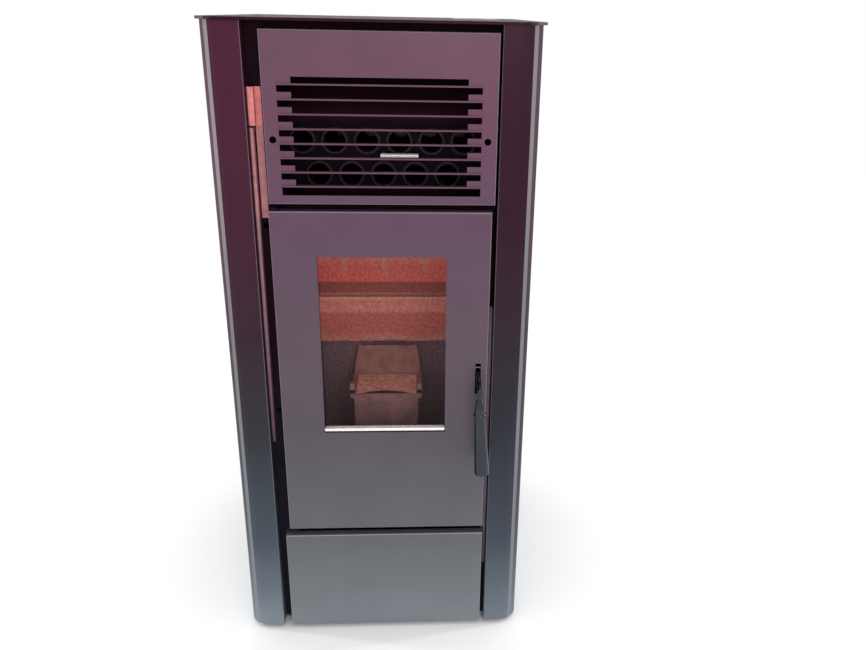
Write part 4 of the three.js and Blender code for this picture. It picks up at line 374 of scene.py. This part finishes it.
finishOfSlot = {
    "casing_paint": casingPaint, "panel_paint": panelPaint, "dark_steel": stovePaint, "galvanised": zincPaintedLightLeft,
    "bright_steel": brightBar, "polished_metal": satinNickelPaintedDark, "ceramic_glass": stoveGlass(),
    "seal_rope": fibreRope, "firebrick": fireBoard(), "cast_iron": castIron, "sheet_steel": galvanised,
    "black_plastic": mouldedBlack, "rubber_black": footRubber,
}
ownFinish = {
    "side_bracket": zincPaintedLightBracket, "rail_right": zincPaintedLightRight, "heat_exchanger": tubePlateShade,
    # the hinge pins take the dark stove paint: painted shade where they sit in the door's gap
    "control_panel": touchMaterial(), "auger_tube": sootedSheet, "door_hinge_pin_upper": stovePaint,
    "door_hinge_pin_lower": stovePaint, "side_panel_right": casingPaintShadedRight,
    "top_plate": topPaint, "pellet_slide": slideIron,
}
slotOfNode = {part["node"]: part["material_slot"] for part in frame["record"]["subparts"]}
print("materials made:", len(bpy.data.materials))


# folded edges shade as rolled metal while flat sheets stay flat: the faces turn smooth, edges sharper than
# the angle stay crisp, and the large faces lead the normals
def smoothingTree(angle):
    tree = bpy.data.node_groups.new("shadeByAngle", "GeometryNodeTree")
    tree.interface.new_socket("Geometry", in_out="INPUT", socket_type="NodeSocketGeometry")
    tree.interface.new_socket("Geometry", in_out="OUTPUT", socket_type="NodeSocketGeometry")
    start = addNode(tree, "NodeGroupInput")
    end = addNode(tree, "NodeGroupOutput")
    edge = addNode(tree, "GeometryNodeInputMeshEdgeAngle")
    isSoft = addNode(tree, "FunctionNodeCompare", {0: (edge, "Unsigned Angle"), 1: math.radians(angle)},
                     data_type="FLOAT", operation="LESS_EQUAL")
    faces = addNode(tree, "GeometryNodeSetShadeSmooth", {"Geometry": (start, "Geometry"),
                                                         "Shade Smooth": True}, domain="FACE")
    edges = addNode(tree, "GeometryNodeSetShadeSmooth", {"Geometry": (faces, "Geometry"),
                                                         "Shade Smooth": (isSoft, "Result")}, domain="EDGE")
    feed(tree, (edges, "Geometry"), end.inputs["Geometry"])
    return tree


softEdges = smoothingTree(38)


def shadeByAngle(thing):
    thing.modifiers.new("shadeByAngle", "NODES").node_group = softEdges


for name, thing in nodes.items():
    thing.data.materials.clear()
    thing.data.materials.append(ownFinish.get(name, finishOfSlot[slotOfNode[name]]))
    shadeByAngle(thing)
    thing.modifiers.new("faceWeights", "WEIGHTED_NORMAL").keep_sharp = True
print("frame dressed")


# building pieces
def newPiece(name, build, material, body, replaces=()):
    mesh = bpy.data.meshes.new(name)
    form = bmesh.new()
    build(form)
    bmesh.ops.remove_doubles(form, verts=form.verts, dist=1e-7)
    bmesh.ops.recalc_face_normals(form, faces=form.faces)
    form.to_mesh(mesh)
    form.free()
    piece = bpy.data.objects.new(name, mesh)
    scene.collection.objects.link(piece)
    piece.data.materials.append(material)
    shadeByAngle(piece)
    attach(piece, body)
    if replaces:
        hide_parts(*replaces)


def addRings(form, rings, ends="capped"):  # a skin through rings of points, with its ends capped or joined
    loops = [[form.verts.new(point) for point in ring] for ring in rings]
    pairs = list(zip(loops, loops[1:]))
    if ends == "joined":
        pairs.append((loops[-1], loops[0]))
    for near, far in pairs:
        for i in range(len(near)):
            j = (i + 1) % len(near)
            form.faces.new((near[i], near[j], far[j], far[i]))
    if ends == "capped":
        form.faces.new(loops[0])
        form.faces.new(loops[-1])


def circle(centre, across, up, radius, count):  # millimetres
    turns = [2 * math.pi * i / count for i in range(count)]
    return [centre + (across * math.cos(a) + up * math.sin(a)) * radius * mm for a in turns]


def addTurned(form, origin, axis, across, profile, count, ends="capped"):  # profile: mm (radius, distance)
    up = axis.cross(across)
    rings = [circle(origin + axis * away * mm, across, up, radius, count) for radius, away in profile]
    addRings(form, rings, ends)


xAxis, yAxis, zAxis = Vector((1, 0, 0)), Vector((0, 1, 0)), Vector((0, 0, 1))

# the door handle's turned grip: a ferrule, a ring and a flared bar with a rounded end
handle = {
    "x": 164.2, "front": -45, "coneTop": 499, "lean": 3.3, "sides": 48,
    "ferrule": [(4.9, 0), (5.3, 1), (6.4, 6), (7.8, 13), (8.8, 20), (9.1, 24), (9.2, 25), (10.0, 25.3),
                (10.6, 26.4), (11.0, 28), (10.6, 29.6), (10.0, 30.7), (9.3, 31), (9.1, 31.6), (9.2, 34)],
    "neck": 9.2, "end": 13, "gripFrom": 34, "grip": 103, "gripSteps": 12,
    "tip": [(12.9, 137.6), (12.6, 138.4), (12.0, 138.9), (0.6, 139)],
}


def buildGrip(form):
    h = handle
    profile = list(h["ferrule"])
    for i in range(1, h["gripSteps"] + 1):
        share = i / h["gripSteps"]
        profile.append((h["neck"] + (h["end"] - h["neck"]) * share, h["gripFrom"] + h["grip"] * share))
    profile += h["tip"]
    tilt = Matrix.Rotation(math.radians(-h["lean"]), 3, "Y")
    start = place(h["x"], h["front"], h["coneTop"])
    addTurned(form, start, -(tilt @ zAxis), tilt @ xAxis, profile, h["sides"])


newPiece("turnedGrip", buildGrip, satinNickelPaintedDark, "handle", ["handle_grip"])

# trim on the window's lower reveal: a rolled strip with a rounded nose that carries the reveal's painted
# highlight
trim = {
    "x": (-94.0, 109.0),
    "outline": [(-3.05, 420.4), (-3.5, 421.0), (-3.7, 422.4), (-3.6, 423.8), (-3.1, 425.0), (-2.4, 425.4),
                (6.9, 425.4), (6.9, 424.7), (-3.05, 424.6)],
    "ends": ((0, 0.3), (0.004, 0), (0.996, 0), (1, 0.3)),  # share of the length, share drawn in
    "middle": 424.8,
}


def buildTrim(form):
    left, right = trim["x"]
    rings = []
    for share, drawnIn in trim["ends"]:
        ring = [place(left + (right - left) * share, y, z) for y, z in trim["outline"]]
        rings.append([p.lerp(Vector((p.x, p.y, trim["middle"] * mm)), drawnIn) for p in ring])
    addRings(form, rings)


newPiece("windowTrim", buildTrim, trimPaintedHighlight, "door")

# the bed of ash and half-burnt pellets that fills the pot to its rim, heaped towards the slide
bed = {"x": (-49.0, 61.0), "y": (104.6, 189.0), "front": 440.0, "back": 438.5, "crown": 3.0, "sink": 0.6,
       "base": 410.0, "cells": (44, 34), "lump": 0.7, "waves": ((2.4, 1.7), (0.9, -2.9))}


def buildBed(form):
    b = bed
    columns, rows = b["cells"]
    grid = []
    for j in range(rows + 1):
        line = []
        for i in range(columns + 1):
            across, along = i / columns, j / rows
            rise = b["crown"] * math.sin(math.pi * across) * (1 - b["sink"] * along)
            lump = b["lump"] * math.prod(math.sin(i * u + j * v) for u, v in b["waves"])
            z = b["front"] + (b["back"] - b["front"]) * along + rise + lump
            line.append(form.verts.new(place(b["x"][0] + (b["x"][1] - b["x"][0]) * across,
                                             b["y"][0] + (b["y"][1] - b["y"][0]) * along, z)))
        grid.append(line)
    for j in range(rows):
        for i in range(columns):
            form.faces.new((grid[j][i], grid[j][i + 1], grid[j + 1][i + 1], grid[j + 1][i]))
    rim = grid[0] + [line[-1] for line in grid[1:]]
    rim += grid[-1][-2::-1] + [line[0] for line in grid[-2:0:-1]]
    foot = [form.verts.new(Vector((p.co.x, p.co.y, b["base"] * mm))) for p in rim]
    for i in range(len(rim)):
        j = (i + 1) % len(rim)
        form.faces.new((rim[i], rim[j], foot[j], foot[i]))
    form.faces.new(foot)


# ash and half-burnt pellets, dry: pale and dusty with coarse crumbs, painted paler still as painted light
# against the shadow of the pot's lip
ashBed = dryFinish("dryAshBed", "#f6cdc1", 0.0, 0.95, 0.8, 0.4, 0.3, gloss=0.05)
newPiece("ashBed", buildBed, ashBed, "pot")

# rolled lips round the tubes' ends in the tube plate
tubes = {
    "pitch": 51.5, "x": 9, "rows": ((6, 896), (5, 843)), "front": 84.2, "sides": 40,
    "lip": [(17.0, 0), (16.9, 2.4), (17.6, 3.4), (19.4, 3.8), (21.4, 3.4), (22.5, 2.2), (22.8, 0)],
}


def buildLips(form):
    t = tubes
    for count, z in t["rows"]:
        for i in range(count):
            x = t["x"] + (i - (count - 1) / 2) * t["pitch"]
            addTurned(form, place(x, t["front"], z), -yAxis, xAxis, t["lip"], t["sides"], "joined")


newPiece("tubeLips", buildLips, lipPaint, "stove")

# the door's seal: three strands of rope laid up round a rounded rectangle
rope = {"x": (-120.5, 138.5), "z": (241.5, 778.5), "y": 20.3, "corner": 14, "strands": 3, "strand": 3.05,
        "offset": 2.4, "pitch": 16, "steps": 9, "sides": 6}


def buildRope(form):
    r = rope
    (left, right), (low, high), bend = r["x"], r["z"], r["corner"]
    width, tall, arc = right - left - 2 * bend, high - low - 2 * bend, math.pi * bend / 2
    # each side's length, where its first corner's bend is centred, and the way it faces
    sides = [(tall, (right - bend, low + bend, 0)), (width, (right - bend, high - bend, 90)),
             (tall, (left + bend, high - bend, 180)), (width, (left + bend, low + bend, 270))]
    whole = 2 * (width + tall + 2 * arc)
    turns = round(whole / r["pitch"])
    count = turns * r["steps"]

    def spot(away):  # a place on the path, and the direction outwards there
        for length, (x, z, facing) in sides:
            turn = math.radians(facing)
            out = Vector((math.cos(turn), 0, math.sin(turn)))
            on = Vector((-math.sin(turn), 0, math.cos(turn)))
            if away <= length:
                return place(x, r["y"], z) + (out * bend + on * away) * mm, out
            away -= length
            if away <= arc:
                part = turn + away / bend
                out = Vector((math.cos(part), 0, math.sin(part)))
                centre = place(x, r["y"], z) + on * length * mm
                return centre + out * bend * mm, out
            away -= arc
        return spot(0)

    for strand in range(r["strands"]):
        rings = []
        for i in range(count):
            centre, out = spot(whole * i / count)
            turn = 2 * math.pi * (turns * i / count + strand / r["strands"])
            side = out * math.cos(turn) + yAxis * math.sin(turn)
            rings.append(circle(centre + side * r["offset"] * mm, out, yAxis, r["strand"], r["sides"]))
        addRings(form, rings, "joined")


newPiece("twistedRope", buildRope, fibreRope, "door", ["door_seal_rope"])

# pan head screws with a round drive that hold the rear panel
screws = {
    "y": 519.8, "side": 228, "heights": (34, 236, 438, 640, 842, 1044), "across": (-114, 0, 114),
    "rows": (22, 1063), "sides": 24,
    "head": [(4.4, 0), (4.4, 0.9), (4.1, 1.5), (3.3, 2.1), (2.0, 2.4), (1.7, 2.4), (1.5, 1.4), (0.3, 1.3)],
}


def buildScrews(form):
    spots = [(side * screws["side"], z) for side in (-1, 1) for z in screws["heights"]]
    spots += [(x, z) for x in screws["across"] for z in screws["rows"]]
    for x, z in spots:
        addTurned(form, place(x, screws["y"], z), yAxis, zAxis, screws["head"], screws["sides"])


newPiece("rearScrews", buildScrews, brightBar, "stove")

# the display's pane in its recess: tinted acrylic with softened edges
display = {"centre": (172, 424), "half": (22.6, 12.6), "z": 1078.35, "steps": [(0, 0), (0, 0.5), (0.3, 0.7)]}


def buildDisplay(form):
    (cx, cy), (halfX, halfY) = display["centre"], display["half"]
    corners = [(-1, -1), (1, -1), (1, 1), (-1, 1)]
    addRings(form, [[place(cx + sx * (halfX - less), cy + sy * (halfY - less), display["z"] + up)
                     for sx, sy in corners] for less, up in display["steps"]])


# acrylic sheet, tinted and polished: near black with a clean shine
displayPane = dryFinish("tintedAcrylicPane", "#0e1a22", 0.0, 0.12, 4.0, 0.001, 0.03)
newPiece("displayPane", buildDisplay, displayPane, "stove")
print("pieces built")

# camera fitted to the photograph's straight edges, lengths in its pixels
view = {"yaw": 3.516, "pitch": 21.168, "roll": 1.164, "focal": 809.8, "centre": (463.5, 325.1),
        "picture": (866, 650), "sensor": 36, "at": (0.0626, -1.4931, 1.0918)}
yaw, pitch, roll = (math.radians(view[key]) for key in ("yaw", "pitch", "roll"))
ahead = Vector((math.sin(yaw) * math.cos(pitch), math.cos(yaw) * math.cos(pitch), -math.sin(pitch)))
level = Vector((math.cos(yaw), -math.sin(yaw), 0))
upright = level.cross(ahead)
right = level * math.cos(roll) + upright * math.sin(roll)
top = -level * math.sin(roll) + upright * math.cos(roll)
cameraData = bpy.data.cameras.new("photoCamera")
across, down = view["picture"]
cameraData.sensor_width = view["sensor"]
cameraData.lens = view["focal"] / across * view["sensor"]
cameraData.shift_x = -(view["centre"][0] - across / 2) / across
cameraData.shift_y = (view["centre"][1] - down / 2) / across
cameraData.clip_start = 0.05
camera = bpy.data.objects.new("photoCamera", cameraData)
camera.matrix_world = Matrix((
    (right.x, top.x, -ahead.x, view["at"][0]),
    (right.y, top.y, -ahead.y, view["at"][1]),
    (right.z, top.z, -ahead.z, view["at"][2]),
    (0, 0, 0, 1),
))
scene.collection.objects.link(camera)
scene.camera = camera

# floor and soft light
studio = {
    "sky": 1.0, "floor": "#ffffff", "reach": 12,
    "key": {"at": (0.5, -2.6, 1.7), "towards": (0, 0, 0.5), "size": (1.4, 1.4), "power": 12},
    "softBox": {"at": (1.7, 0.05, 0.8), "towards": (0, 0, 0.8), "size": (0.1, 1.0), "power": 9},
}
floorMaterial = newMaterial("paleFloor", Base_Color=linear(studio["floor"]), Roughness=0.9,
                            Specular_IOR_Level=0.0)[0]
floorMesh = bpy.data.meshes.new("floor")
reach = studio["reach"]
floorMesh.from_pydata([(-reach, -reach, 0), (reach, -reach, 0), (reach, reach, 0), (-reach, reach, 0)], [],
                      [(0, 1, 2, 3)])
floor = bpy.data.objects.new("floor", floorMesh)
floor.data.materials.append(floorMaterial)
scene.collection.objects.link(floor)

world = bpy.data.worlds.new("studio")
world.use_nodes = True
scene.world = world
sky = world.node_tree
sky.nodes.clear()
path = addNode(sky, "ShaderNodeLightPath")
straight = addNode(sky, "ShaderNodeMath", {0: (path, "Is Camera Ray"), 1: (path, "Is Transmission Ray")},
                   operation="MAXIMUM")
seen = addNode(sky, "ShaderNodeMath", {0: (straight, "Value"), 1: (path, "Is Glossy Ray")},
               operation="MAXIMUM")
lightSky = addNode(sky, "ShaderNodeBackground", {"Color": (1, 1, 1, 1), "Strength": studio["sky"]})
whiteSky = addNode(sky, "ShaderNodeBackground", {"Color": (1, 1, 1, 1), "Strength": 1.0})
mixSky = addNode(sky, "ShaderNodeMixShader", {0: (seen, "Value"), 1: (lightSky, "Background"),
                                              2: (whiteSky, "Background")})
addNode(sky, "ShaderNodeOutputWorld", {"Surface": (mixSky, "Shader")})


def addLamp(name, side=1):  # side mirrors the lamp in x
    lampOf = studio[name]
    at = Vector((lampOf["at"][0] * side, *lampOf["at"][1:]))
    data = bpy.data.lights.new(name, "AREA")
    data.shape = "RECTANGLE"
    data.size, data.size_y = lampOf["size"]
    data.energy = lampOf["power"]
    lamp = bpy.data.objects.new(name, data)
    lamp.location = at
    lamp.rotation_euler = (Vector(lampOf["towards"]) - at).to_track_quat("-Z", "Y").to_euler()
    scene.collection.objects.link(lamp)


addLamp("key")
for side in (-1, 1):  # tall soft boxes that draw a bright line down each rounded corner
    addLamp("softBox", side)
print("camera, floor and light set")
